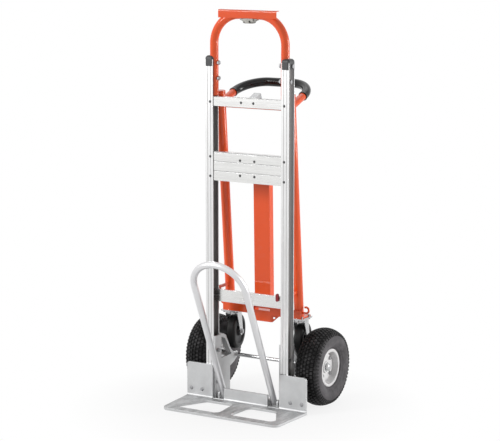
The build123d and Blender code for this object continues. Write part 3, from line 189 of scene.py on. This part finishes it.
class Surface:
    """One node material while it is being put together."""

    def __init__(self, name):
        self.material = bpy.data.materials.new(name)
        self.material.use_nodes = True
        self.tree = self.material.node_tree
        self.shader = self.tree.nodes["Principled BSDF"]
        self.place = self.add("ShaderNodeTexCoord").outputs["Object"]

    def add(self, kind, **settings):
        node = self.tree.nodes.new(kind)
        for key, value in settings.items():
            setattr(node, key, value)
        return node

    def link(self, source, target):
        self.tree.links.new(source, target)

    def feed(self, socket, value):
        """Link a value that comes from a node, or set a plain one."""
        if isinstance(value, bpy.types.NodeSocket):
            self.link(value, socket)
        else:
            socket.default_value = value

    def constants(self, **values):
        """Set what is the same all over on the shader's own sockets."""
        for key, value in values.items():
            socket = key.replace("_", " ").title().replace("Ior", "IOR")
            self.shader.inputs[socket].default_value = value

    def math(self, operation, first, second):
        node = self.add("ShaderNodeMath", operation=operation)
        self.feed(node.inputs[0], first)
        self.feed(node.inputs[1], second)
        return node.outputs[0]

    def scaled(self, value, factor):
        return self.math("MULTIPLY", value, factor)

    def vector_math(self, operation, first, second=(0, 0, 0)):
        node = self.add("ShaderNodeVectorMath", operation=operation)
        self.feed(node.inputs[0], first)
        self.feed(node.inputs[1], second)
        return node.outputs["Value" if operation in ("LENGTH", "DOT_PRODUCT") else "Vector"]

    def part(self, vector, axis):
        """The part of a vector along X, Y or Z."""
        parts = self.add("ShaderNodeSeparateXYZ")
        self.link(vector, parts.inputs[0])
        return parts.outputs[axis]

    def normal(self):
        return self.add("ShaderNodeNewGeometry").outputs["Normal"]

    def span(self, value, low, high, to_low=0.0, to_high=1.0):
        """Map the range low to high onto another range, and hold it there."""
        node = self.add("ShaderNodeMapRange")
        self.feed(node.inputs["Value"], value)
        node.inputs["From Min"].default_value = low
        node.inputs["From Max"].default_value = high
        node.inputs["To Min"].default_value = to_low
        node.inputs["To Max"].default_value = to_high
        return node.outputs["Result"]

    def patches(self, value, start, full, amount=1.0):
        """Zero up to a start, and rising from there to an amount where the value is full."""
        return self.span(value, start, full, 0.0, amount)

    def grade(self, noise, low, high):
        """Noise, spread from low to high."""
        return self.span(noise, *NOISE_RANGE, low, high)

    def mix(self, factor, first, second):
        node = self.add("ShaderNodeMix", data_type="RGBA")
        self.feed(node.inputs[MIX_FACTOR], factor)
        self.feed(node.inputs[MIX_FIRST], first)
        self.feed(node.inputs[MIX_SECOND], second)
        return node.outputs[MIX_RESULT]

    def vary(self, value, colour, at_zero, at_one):
        """A colour whose lightness follows a value."""
        return self.mix(value, shade(colour, at_zero), shade(colour, at_one))

    def lay(self, tone, amount, colour, factor=1.0):
        """Lay a colour, made lighter or darker, over a tone by an amount."""
        return self.mix(amount, tone, shade(colour, factor))

    def noise(self, waves, detail=3.0, rough=0.55, stretch=(1, 1, 1)):
        """Noise with a number of waves per metre, drawn out along an axis by a small stretch."""
        mapping = self.add("ShaderNodeMapping")
        mapping.inputs["Scale"].default_value = stretch
        self.link(self.place, mapping.inputs["Vector"])
        node = self.add("ShaderNodeTexNoise")
        node.inputs["Scale"].default_value = waves
        node.inputs["Detail"].default_value = detail
        node.inputs["Roughness"].default_value = rough
        self.link(mapping.outputs["Vector"], node.inputs["Vector"])
        return node.outputs["Fac"]

    def cells(self, count):
        """Distance to the middle of the nearest cell, with a number of cells per metre."""
        node = self.add("ShaderNodeTexVoronoi")
        node.inputs["Scale"].default_value = count
        self.link(self.place, node.inputs["Vector"])
        return node.outputs["Distance"]

    def inside(self, axis, low, high):
        """One between two places on an axis and zero outside them, with a soft step."""
        place = self.part(self.place, axis)
        past = self.span(place, low, low + SOFT_STEP)
        before = self.span(place, high - SOFT_STEP, high, 1.0, 0.0)
        return self.math("MULTIPLY", past, before)

    def radius(self, centre, axis):
        """Distance from a line through a centre along an axis."""
        offset = self.vector_math("SUBTRACT", self.place, centre)
        return self.vector_math("LENGTH", self.vector_math("CROSS_PRODUCT", offset, axis))

    def facing_up(self):
        """One on faces that look upward and zero on upright ones."""
        return self.span(self.part(self.normal(), "Z"), *UPWARD_COSINES)

    def edges(self, radius):
        """How close a point is to a sharp edge, from 0 to 1, and the normal rounded over that edge."""
        bevel = self.add("ShaderNodeBevel", samples=BEVEL_SAMPLES)
        bevel.inputs["Radius"].default_value = radius
        rounded = bevel.outputs["Normal"]
        worn = self.span(self.vector_math("DOT_PRODUCT", rounded, self.normal()), *WORN_COSINES, 1.0, 0.0)
        return worn, rounded

    def bump(self, height, depth, normal=None):
        node = self.add("ShaderNodeBump")
        node.inputs["Strength"].default_value = 1.0
        node.inputs["Distance"].default_value = depth
        self.link(height, node.inputs["Height"])
        if normal is not None:
            self.link(normal, node.inputs["Normal"])
        return node.outputs["Normal"]

    def finish(self, colour, roughness, normal):
        self.link(colour, self.shader.inputs["Base Color"])
        self.link(roughness, self.shader.inputs["Roughness"])
        self.link(normal, self.shader.inputs["Normal"])
        return self.material


# Materials

def drawn_aluminium(name, colour, along, gloss, channel=None, recess_shade=CHANNEL_SHADE_GREY):
    """Aluminium drawn through a die, with fine lines along one axis and painted shade in the depth of a channel or
    groove.
    """
    s = Surface(name)
    stretch = [1.0, 1.0, 1.0]
    stretch["xyz".index(along)] = LINE_STRETCH
    lines = s.noise(900, detail=4, rough=0.6, stretch=stretch)
    bands = s.noise(130, detail=2, rough=0.5, stretch=stretch)
    clouds = s.noise(7, detail=4)
    scuffs = s.patches(s.noise(46, detail=6, rough=0.7), start=0.60, full=0.72, amount=0.35)
    worn, rounded = s.edges(radius=0.0005)
    tone = s.vary(lines, colour, at_zero=0.90, at_one=1.07)
    tone = s.lay(tone, s.patches(bands, start=0.35, full=0.70, amount=0.35), colour, factor=0.88)
    tone = s.lay(tone, s.patches(clouds, start=0.45, full=0.75, amount=0.30), colour, factor=0.84)
    tone = s.lay(tone, scuffs, colour, factor=0.72)
    # Darker along sharp edges: painted shade where the edges turn from the light
    tone = s.lay(tone, s.scaled(worn, 0.5), colour, factor=0.85)
    # Painted shade: the depth of a rail's channel, or the floor of a crossbar's grooves, is darkened towards a
    # grey
    if channel:
        painted_shade = s.vary(lines, recess_shade, at_zero=0.8, at_one=1.25)
        tone = s.mix(s.scaled(s.inside("Y", *channel), 0.9), tone, painted_shade)
    roughness = s.math("ADD", s.grade(lines, gloss - 0.05, gloss + 0.08), s.scaled(scuffs, 0.25))
    s.constants(metallic=0.92)
    return s.finish(tone, roughness, s.bump(lines, depth=0.00004, normal=rounded))


def rail_channel():
    """The depth of a rail that gets painted shade, from the floor of its front grooves to its rear flange."""
    low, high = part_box("left_rail")
    return low.y + RAIL_SKIN, high.y - RAIL_FLANGE


def band_grooves():
    """The depth just behind the crossbars' front, where the middle one's grooves have their floor and get painted
    shade.
    """
    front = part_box("middle_crossbar")[0].y
    return front, front + GROOVE_REACH


def cast_aluminium():
    """Sand-cast aluminium: a fine pebbled skin, mottled, and darker on upward faces: painted shade, streaked like
    scuffs where loads slide over it.
    """
    s = Surface("cast_aluminium")
    grain = s.noise(620, detail=3, rough=0.6)
    pebble = s.cells(380)
    mottle = s.noise(17, detail=5, rough=0.6)
    rubbed = s.patches(s.noise(30, detail=6, rough=0.7), start=0.55, full=0.75, amount=0.4)
    slides = s.noise(48, detail=6, rough=0.7, stretch=(1.0, 0.3, 1.0))
    worn, rounded = s.edges(radius=0.0016)
    tone = s.vary(grain, CAST_GREY, at_zero=0.86, at_one=1.12)
    tone = s.lay(tone, s.patches(mottle, start=0.4, full=0.7, amount=0.45), CAST_GREY, factor=0.80)
    tone = s.lay(tone, rubbed, CAST_GREY, factor=1.18)
    # Painted shade: upward faces are darkened, broken into streaks like scuffs
    upward_shade_and_scuffs = s.vary(s.patches(slides, start=0.35, full=0.65), CAST_GREY, at_zero=0.46, at_one=0.95)
    tone = s.mix(s.scaled(s.facing_up(), 0.85), tone, upward_shade_and_scuffs)
    tone = s.lay(tone, s.scaled(worn, 0.6), CAST_GREY, factor=1.4)
    roughness = s.grade(mottle, 0.46, 0.60)
    height = s.math("ADD", grain, s.scaled(pebble, 0.8))
    s.constants(metallic=0.75)
    return s.finish(tone, roughness, s.bump(height, depth=0.00016, normal=rounded))


def powder_coat():
    """Glossy orange powder coat with its fine ripple, rubbed thin along the edges."""
    s = Surface("orange_paint")
    ripple = s.noise(420, detail=2, rough=0.45)
    clouds = s.noise(6)
    chips = s.patches(s.noise(260, detail=5, rough=0.65), start=0.60, full=0.66)
    dust = s.patches(s.noise(24, detail=6, rough=0.7), start=0.56, full=0.80, amount=0.06)
    worn, rounded = s.edges(radius=0.0012)
    tone = s.vary(clouds, ORANGE, at_zero=0.92, at_one=1.06)
    tone = s.lay(tone, dust, DUST, factor=1.2)
    tone = s.lay(tone, s.scaled(worn, 0.25), PALE_ORANGE)
    tone = s.lay(tone, s.scaled(s.math("MULTIPLY", worn, chips), 0.75), DARK_ZINC, factor=0.8)
    roughness = s.grade(clouds, 0.30, 0.40)
    s.constants(specular_ior_level=0.12, coat_weight=0.7, coat_roughness=0.05)
    return s.finish(tone, roughness, s.bump(ripple, depth=0.00010, normal=rounded))


def plated_steel(name, colour, gloss):
    """Plated steel with a faint crystal pattern and dull patches."""
    s = Surface(name)
    crystal = s.cells(240)
    dull = s.noise(60, detail=5, rough=0.6)
    fine = s.noise(900)
    worn, rounded = s.edges(radius=0.0006)
    tone = s.vary(crystal, colour, at_zero=1.08, at_one=0.86)
    tone = s.lay(tone, s.patches(dull, start=0.45, full=0.70, amount=0.5), colour, factor=0.72)
    tone = s.lay(tone, s.scaled(worn, 0.5), colour, factor=1.3)
    roughness = s.grade(dull, gloss, gloss + 0.16)
    s.constants(metallic=0.95)
    return s.finish(tone, roughness, s.bump(fine, depth=0.00005, normal=rounded))


def rim_enamel():
    """Light grey enamel with dust in the dish and worn lips."""
    s = Surface("rim_paint")
    clouds = s.noise(22, detail=5, rough=0.6)
    peel = s.noise(520, detail=2)
    dust = s.patches(s.noise(70, detail=6, rough=0.7), start=0.50, full=0.75, amount=0.25)
    worn, rounded = s.edges(radius=0.0012)
    tone = s.vary(clouds, ENAMEL, at_zero=0.92, at_one=1.08)
    tone = s.lay(tone, dust, DUST, factor=1.1)
    tone = s.lay(tone, s.scaled(worn, 0.35), ENAMEL, factor=1.25)
    roughness = s.grade(clouds, 0.34, 0.48)
    s.constants(coat_weight=0.15, coat_roughness=0.25)
    return s.finish(tone, roughness, s.bump(peel, depth=0.00008, normal=rounded))


def moulded_plastic():
    """Black moulded plastic with a fine spark-eroded grain."""
    s = Surface("black_plastic")
    grain = s.noise(1100, detail=3, rough=0.6)
    clouds = s.noise(30, detail=4)
    worn, rounded = s.edges(radius=0.0012)
    tone = s.vary(clouds, PLASTIC_BLACK, at_zero=0.85, at_one=1.25)
    tone = s.lay(tone, s.scaled(worn, 0.4), PLASTIC_BLACK, factor=2.2)
    roughness = s.grade(grain, 0.42, 0.56)
    return s.finish(tone, roughness, s.bump(grain, depth=0.00012, normal=rounded))


def soft_vinyl():
    """Glossy black vinyl sleeve with a fine skin and patches of scuffs."""
    s = Surface("grip_vinyl")
    skin = s.noise(700, detail=3, rough=0.6)
    waves = s.noise(55, detail=2)
    scuffs = s.patches(s.noise(90, detail=6, rough=0.7), start=0.55, full=0.72)
    tone = s.vary(waves, VINYL_BLACK, at_zero=0.8, at_one=1.3)
    tone = s.lay(tone, s.scaled(scuffs, 0.25), VINYL_BLACK, factor=3.5)
    roughness = s.math("ADD", s.grade(skin, 0.10, 0.15), s.scaled(scuffs, 0.12))
    height = s.math("ADD", s.scaled(skin, 0.3), waves)
    s.constants(specular_ior_level=0.32)
    return s.finish(tone, roughness, s.bump(height, depth=0.00016))


def moulded_rubber(name, colour, wall=None):
    """Matte rubber, dusty and slightly bloomed, with fine pores; a tyre has walls of another colour."""
    s = Surface(name)
    pores = s.noise(1300, detail=4, rough=0.65)
    bloom = s.noise(26, detail=6, rough=0.65)
    dust = s.patches(s.noise(120, detail=6, rough=0.7), start=0.52, full=0.78, amount=0.10)
    if wall:
        tone = tyre_tone(s, bloom, colour, wall)
    else:
        tone = s.vary(bloom, colour, at_zero=0.75, at_one=1.45)
    tone = s.lay(tone, dust, DUST, factor=0.5)
    roughness = s.grade(bloom, 0.46, 0.60)
    s.constants(specular_ior_level=0.14)
    return s.finish(tone, roughness, s.bump(pores, depth=0.00018))


def tyre_tone(s, bloom, colour, wall):
    """Colour of a tyre: streaked grey walls, painted shade in the grooves, and patches of painted highlight on the
    blocks' top faces.
    """
    low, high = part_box("left_tyre")
    outer = (high.z - low.z) / 2
    radius = s.radius((low + high) / 2, ACROSS)
    raised = s.add("ShaderNodeAttribute", attribute_name=HEIGHT_ATTRIBUTE).outputs["Fac"]
    tread = s.math("MAXIMUM", s.span(radius, *(outer * share for share in TREAD_EDGE)), raised)
    streaks = s.patches(s.noise(11, detail=5, rough=0.7), start=0.32, full=0.68)
    bloomed = s.vary(streaks, wall, at_zero=0.55, at_one=1.45)
    darkened = s.patches(radius, *(outer * share for share in WALL_SHADE), amount=0.6)
    bloomed = s.lay(bloomed, darkened, wall, factor=0.5)
    # Painted highlight: patches of the blocks' top faces made up to eight times lighter
    painted_highlights = s.vary(s.patches(bloom, start=0.42, full=0.62), colour, at_zero=1.0, at_one=8.0)
    # Painted shade: the groove floors and the blocks' feet are darkened
    blocks = s.mix(raised, shade(colour, 0.4), painted_highlights)
    return s.mix(tread, bloomed, blocks)


def caster_rubber(side):
    """Caster wheel: grey moulded hub inside a black rubber tread."""
    s = Surface(side + "_caster_rubber")
    low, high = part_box(side + "_caster_wheel")
    joint = next(j for j in frame["joints"] if j["name"] == side + "_caster_roll")
    outer = (high.z - low.z) / 2
    radius = s.radius((low + high) / 2, joint["axis"])
    tread = s.span(radius, *(outer * share for share in HUB_EDGE))
    pores = s.noise(1200, detail=4, rough=0.65)
    bloom = s.noise(36, detail=6, rough=0.65)
    worn, rounded = s.edges(radius=0.0010)
    rubber = s.vary(bloom, CASTER_BLACK, at_zero=0.75, at_one=1.5)
    hub = s.vary(bloom, HUB_GREY, at_zero=0.85, at_one=1.2)
    tone = s.mix(tread, hub, rubber)
    tone = s.lay(tone, s.scaled(worn, 0.25), HUB_GREY, factor=1.8)
    roughness = s.grade(bloom, 0.36, 0.55)
    s.constants(specular_ior_level=0.18)
    return s.finish(tone, roughness, s.bump(pores, depth=0.00012, normal=rounded))


# Meshes

def arc(start, through, end, count):
    """Points on the circle through three points, from start up to but without end."""
    (ax, ay), (bx, by), (cx, cy) = start, through, end
    d = 2 * (ax * (by - cy) + bx * (cy - ay) + cx * (ay - by))
    a2, b2, c2 = ax * ax + ay * ay, bx * bx + by * by, cx * cx + cy * cy
    ux = (a2 * (by - cy) + b2 * (cy - ay) + c2 * (ay - by)) / d
    uy = (a2 * (cx - bx) + b2 * (ax - cx) + c2 * (bx - ax)) / d
    radius = math.hypot(ax - ux, ay - uy)
    first = math.atan2(ay - uy, ax - ux)
    turn = (math.atan2(cy - uy, cx - ux) - first) % FULL_TURN
    if (math.atan2(by - uy, bx - ux) - first) % FULL_TURN > turn:
        turn -= FULL_TURN
    return [(ux + radius * math.cos(first + turn * i / count),
             uy + radius * math.sin(first + turn * i / count)) for i in range(count)]


def mirrored(point):
    """The same place on the other side of the tyre."""
    return -point[0], point[1]


def ring_faces(rings, sides):
    """Faces between rings of points, each ring joined to the next and the last to the first."""
    faces = []
    for ring in range(rings):
        here = ring * sides
        there = (ring + 1) % rings * sides
        for k in range(sides):
            m = (k + 1) % sides
            faces.append((here + k, here + m, there + m, there + k))
    return faces


def new_piece(name, points, faces, material):
    """An object with a smooth mesh."""
    mesh = bpy.data.meshes.new(name)
    mesh.from_pydata(points, [], faces)
    mesh.materials.append(material)
    for polygon in mesh.polygons:
        polygon.use_smooth = True
    mesh.update()
    piece = bpy.data.objects.new(name, mesh)
    bpy.context.scene.collection.objects.link(piece)
    return piece


def sharpen(piece, angle):
    """Put a crease where two faces meet at more than an angle."""
    limit = math.cos(angle)
    normals = {}
    for polygon in piece.data.polygons:
        for key in polygon.edge_keys:
            normals.setdefault(key, []).append(polygon.normal)
    for edge in piece.data.edges:
        pair = normals.get(edge.key, [])
        edge.use_edge_sharp = len(pair) == 2 and pair[0].dot(pair[1]) < limit


def tread_top(across, crown):
    """Radius of the tread's top at a place across the tyre, the crown's at the middle row's edges."""
    edge = BLOCK_HALF_WIDTH
    return crown - TREAD_FALL * (across ** 2 - edge ** 2) / (TREAD_HALF ** 2 - edge ** 2)


def raised_rings(point, bead, crown):
    """Push a sidewall point out where a moulded ring runs round the tyre."""
    x, radius = point
    reach = crown - bead
    rise = 0.0
    for place, width, height in WALL_RINGS:
        rise += height * math.exp(-((radius - bead - place * reach) / (width * reach)) ** 2)
    return x + rise, radius


def tyre_profile(half, bead, crown):
    """Closed outline of the tyre wall: distance across from the middle, and radius."""
    lip = bead + BEAD_HEIGHT
    belly = (bead + crown) / 2
    inner_bead = BEAD_HALF - TYRE_WALL
    shoulder = (TREAD_HALF + SHOULDER_EDGE, tread_top(TREAD_HALF, crown) - TREAD_DEPTH)
    inner_shoulder = (half - TYRE_WALL - LINING_INSET, crown - LINING_DROP)
    side_wall = arc((BEAD_HALF, lip), (half, belly), shoulder, WALL_POINTS)
    lining = arc((inner_bead, lip), (half - TYRE_WALL, belly), inner_shoulder, LINING_POINTS)
    outside = [(BEAD_HALF, bead)] + [raised_rings(point, bead, crown) for point in side_wall]
    inside = [(inner_bead, bead)] + lining
    ground = arc(shoulder, (0, crown - TREAD_DEPTH), mirrored(shoulder), GROUND_POINTS)
    roof = arc(mirrored(inner_shoulder), (0, crown - TYRE_WALL), inner_shoulder, ROOF_POINTS)
    far_side = [mirrored(point) for point in [shoulder] + outside[::-1] + inside]
    return outside + ground + far_side + roof + [inner_shoulder] + inside[::-1]


def tread_rows(crown):
    """Rows of tread blocks, and a row of lugs on each shoulder."""
    rows = []
    for row in range(TREAD_ROWS):
        middle = (row - (TREAD_ROWS - 1) / 2) * TREAD_PITCH
        low = max(middle - BLOCK_HALF_WIDTH, -TREAD_HALF)
        high = min(middle + BLOCK_HALF_WIDTH, TREAD_HALF)
        across = (low + high) / 2
        lean = math.atan(2 * TREAD_FALL * across / TREAD_HALF ** 2)
        radius = tread_top(across, crown) - TREAD_DEPTH
        rows.append(TreadRow(across, radius, lean, (high - low) / 2, BLOCK_HALF_LENGTH, row % 2 / 2))
    for sign in (-1, 1):
        rows.append(TreadRow(sign * LUG_ACROSS, crown - LUG_DROP, sign * LUG_LEAN,
                             LUG_HALF_WIDTH, LUG_HALF_LENGTH, LUG_STAGGER))
    return rows


def tread_block(row, turn):
    """Points and faces of one tapered block; a point is its place across, its radius and its angle."""
    points = []
    for rise, share, _ in BLOCK_LEVELS:
        for right, ahead in CORNERS:
            dx = right * row.half_width * share
            along = ahead * row.half_length * share
            x = row.across + dx * math.cos(row.lean) + rise * math.sin(row.lean)
            radius = row.radius - dx * math.sin(row.lean) + rise * math.cos(row.lean)
            points.append((x, radius, turn + along / row.radius))
    count = len(CORNERS)
    order = tuple(range(len(points)))
    foot = order[:count][::-1]
    top = order[-count:]
    # The last ring of faces would join the top to the foot
    sides = ring_faces(len(BLOCK_LEVELS), count)[:-count]
    return points, [foot, top] + sides


def tyre(side, material):
    """A tyre with moulded rings on its walls, rows of tread blocks and lugs on its shoulders."""
    low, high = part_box(side + "_tyre")
    rim_low, rim_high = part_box(side + "_rim")
    centre = (low + high) / 2
    half = (high.x - low.x) / 2
    crown = (high.z - low.z) / 2
    bead = (rim_high.z - rim_low.z) / 2 - BEAD_LIP
    profile = tyre_profile(half, bead, crown)

    def spot(x, radius, angle):
        return centre + Vector((x, radius * math.cos(angle), radius * math.sin(angle)))

    points = []
    for step in range(TYRE_STEPS):
        angle = FULL_TURN * step / TYRE_STEPS
        points += [spot(x, radius, angle) for x, radius in profile]
    faces = ring_faces(TYRE_STEPS, len(profile))
    heights = [0.0] * len(points)
    for row in tread_rows(crown):
        for step in range(TREAD_COUNT):
            block, block_faces = tread_block(row, FULL_TURN * (step + row.stagger) / TREAD_COUNT)
            start = len(points)
            points += [spot(*corner) for corner in block]
            faces += [tuple(start + i for i in face) for face in block_faces]
            heights += BLOCK_HEIGHTS
    piece = new_piece(side + "_tyre_tread", points, faces, material)
    piece.data.attributes.new(HEIGHT_ATTRIBUTE, "FLOAT", "POINT").data.foreach_set("value", heights)
    sharpen(piece, TYRE_CREASE)
    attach(piece, side + "_wheel")
    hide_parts(side + "_tyre")


def grip_path():
    """Centreline of the grip, from its left end over the rear bar to its right end."""
    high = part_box("cart_grip")[1]
    straight = ACROSS * (high.x - GRIP_RADIUS - GRIP_BEND)
    rear = Vector((0, high.y - GRIP_RADIUS, high.z - GRIP_RADIUS))
    forward = Vector((0, -math.cos(GRIP_RISE), -math.sin(GRIP_RISE)))
    right = [rear + straight * i / BAR_STEPS for i in range(BAR_STEPS + 1)]
    pivot = rear + straight + forward * GRIP_BEND
    for i in range(1, BEND_STEPS + 1):
        angle = math.pi / 2 * i / BEND_STEPS
        outward = ACROSS * GRIP_BEND * math.sin(angle)
        right.append(pivot + outward - forward * GRIP_BEND * math.cos(angle))
    for i in range(1, TAIL_STEPS + 1):
        right.append(pivot + ACROSS * GRIP_BEND + forward * GRIP_TAIL * i / TAIL_STEPS)
    left = [Vector((-point.x, point.y, point.z)) for point in reversed(right[1:])]
    return left + right


def grip_rings(path):
    """Middle, direction and radius of the sleeve's rings: over the outside, then back along the bore."""
    last = len(path) - 1
    sections = []
    outside = []
    for i, centre in enumerate(path):
        ahead = (path[min(i + 1, last)] - path[max(i - 1, 0)]).normalized()
        sections.append((centre, ahead))
        from_end = min(i, last - i)
        radius = GRIP_RADIUS + (GRIP_CUFF if from_end < CUFF_RINGS else 0.0)
        outside.append((centre, ahead, radius - (CUFF_ROUNDING if from_end == 0 else 0.0)))
    start = (*sections[0], GRIP_RADIUS - END_ROUNDING)
    end = (*sections[-1], GRIP_RADIUS - END_ROUNDING)
    bore = [(*section, GRIP_RADIUS - GRIP_WALL) for section in reversed(sections)]
    return [start] + outside + [end] + bore


def grip(material):
    """The sleeve on the arched handle: a soft tube with rolled ends."""
    rings = grip_rings(grip_path())
    arch_normal = Vector((0, -math.sin(GRIP_RISE), math.cos(GRIP_RISE)))
    points = []
    for centre, ahead, radius in rings:
        inward = ahead.cross(arch_normal).normalized()
        downward = ahead.cross(inward)
        for k in range(GRIP_SIDES):
            angle = FULL_TURN * k / GRIP_SIDES
            points.append(centre + (inward * math.cos(angle) + downward * math.sin(angle)) * radius)
    faces = ring_faces(len(rings), GRIP_SIDES)
    piece = new_piece("grip_sleeve", points, faces, material)
    sharpen(piece, GRIP_CREASE)
    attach(piece, "cart_frame")
    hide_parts("cart_grip")


# Stage

def seen_rays(tree):
    """One for rays from the camera, and for what shows in a reflection or through glass."""
    rays = tree.nodes.new("ShaderNodeLightPath")
    seen = rays.outputs["Is Camera Ray"]
    for name in ("Is Glossy Ray", "Is Transmission Ray"):
        most = tree.nodes.new("ShaderNodeMath")
        most.operation = "MAXIMUM"
        tree.links.new(seen, most.inputs[0])
        tree.links.new(rays.outputs[name], most.inputs[1])
        seen = most.outputs[0]
    return seen


def blend_shaders(tree, factor, first, second, output):
    """Mix two shaders into a tree's output node."""
    blend = tree.nodes.new("ShaderNodeMixShader")
    tree.links.new(factor, blend.inputs[0])
    tree.links.new(first.outputs[0], blend.inputs[1])
    tree.links.new(second.outputs[0], blend.inputs[2])
    tree.links.new(blend.outputs[0], tree.nodes[output].inputs["Surface"])


def stage_floor():
    """A pale floor that keeps the shadow near the object and fades into the background far from it."""
    corners = [(x * FLOOR_REACH, y * FLOOR_REACH, FLOOR_LEVEL) for x, y in CORNERS]
    mesh = bpy.data.meshes.new("floor")
    mesh.from_pydata(corners, [], [range(len(corners))])
    floor = bpy.data.objects.new("floor", mesh)
    bpy.context.scene.collection.objects.link(floor)
    s = Surface("floor")
    s.constants(roughness=0.9, specular_ior_level=0.1)
    grain = s.mix(s.noise(35), shade(FLOOR_DARK), shade(FLOOR_LIGHT))
    s.link(grain, s.shader.inputs["Base Color"])
    glow = s.add("ShaderNodeEmission")
    glow.inputs["Color"].default_value = WHITE
    distance = s.vector_math("LENGTH", s.place)
    white = s.span(distance, WHITE_NEAR[0], WHITE_FAR[0], WHITE_NEAR[1], WHITE_FAR[1])
    factor = s.math("MULTIPLY", white, seen_rays(s.tree))
    blend_shaders(s.tree, factor, s.shader, glow, "Material Output")
    mesh.materials.append(s.material)


def stage_world():
    """Even soft light, with a white background for what the camera and reflections see."""
    world = bpy.data.worlds.new("studio")
    world.use_nodes = True
    tree = world.node_tree
    light = tree.nodes["Background"]
    backdrop = tree.nodes.new("ShaderNodeBackground")
    for background, strength in ((light, WORLD_LIGHT), (backdrop, BACKDROP_LIGHT)):
        background.inputs["Color"].default_value = WHITE
        background.inputs["Strength"].default_value = strength
    blend_shaders(tree, seen_rays(tree), light, backdrop, "World Output")
    bpy.context.scene.world = world


def stage_lamps():
    """Soft boxes that all face the middle of the object."""
    for name, (place, size, power) in LAMPS.items():
        lamp = bpy.data.lights.new(name, "AREA")
        lamp.shape = "RECTANGLE"
        lamp.size, lamp.size_y = size
        lamp.energy = power
        holder = bpy.data.objects.new(name, lamp)
        holder.location = place
        holder.rotation_euler = (Vector(LAMP_TARGET) - Vector(place)).to_track_quat("-Z", "Y").to_euler()
        bpy.context.scene.collection.objects.link(holder)


def stage_camera():
    data = bpy.data.cameras.new("camera")
    data.sensor_width = SENSOR_WIDTH
    data.lens = CAMERA_LENS
    camera = bpy.data.objects.new("camera", data)
    camera.location = CAMERA_PLACE
    camera.rotation_euler = (math.radians(90 - CAMERA_PITCH), 0, math.radians(CAMERA_AZIMUTH))
    bpy.context.scene.collection.objects.link(camera)
    bpy.context.scene.camera = camera


# Finishes of the material slots, and of single nodes that differ from their slot
MATERIALS = {
    "rail_aluminium": drawn_aluminium("rail_aluminium", ALUMINIUM, along="z", gloss=0.30,
                                      channel=rail_channel()),
    "crossbar_aluminium": drawn_aluminium("crossbar_aluminium", BAR_ALUMINIUM, along="x", gloss=0.24,
                                          channel=band_grooves(), recess_shade=GROOVE_SHADE_GREY),
    "loop_aluminium": drawn_aluminium("loop_aluminium", TUBE_GREY, along="z", gloss=0.32),
    "cast_aluminium": cast_aluminium(),
    "orange_paint": powder_coat(),
    "zinc_steel": plated_steel("zinc_steel", ZINC, gloss=0.18),
    "fastener_steel": plated_steel("fastener_steel", DARK_ZINC, gloss=0.30),
    "rim_paint": rim_enamel(),
    "black_plastic": moulded_plastic(),
    "grip_rubber": soft_vinyl(),
    "tyre": moulded_rubber("tyre_rubber", RUBBER_BLACK, WALL_BLACK),
    "tube_rubber": moulded_rubber("tube_rubber", RUBBER_BLACK),
    "bumper_rubber": moulded_rubber("bumper_rubber", BUMPER_RED),
}
NODE_MATERIALS = {side + "_caster_wheel": caster_rubber(side) for side in SIDES}
black_screw = plated_steel("black_screw", SCREW_BLACK, gloss=0.34)
for name in ("crossbar_screws", "hinge_bracket_bolts", "latch_fasteners"):
    NODE_MATERIALS[name] = black_screw
# Painted shade: the catch under the top bar gets a darker copy of the zinc plating
shaded_zinc = plated_steel("shaded_zinc", CATCH_SHADED_ZINC, gloss=0.30)
for name in ("catch_housing", "catch_tongue"):
    NODE_MATERIALS[name] = shaded_zinc

for subpart in frame["record"]["subparts"]:
    node = frame["nodes"][subpart["node"]]
    node.data.materials.clear()
    node.data.materials.append(NODE_MATERIALS.get(subpart["node"]) or MATERIALS[subpart["material_slot"]])

for side in SIDES:
    tyre(side, MATERIALS["tyre"])
grip(MATERIALS["grip_rubber"])

stage_floor()
stage_world()
stage_lamps()
stage_camera()
bpy.context.scene.view_settings.view_transform = "Standard"

bpy.context.view_layer.update()
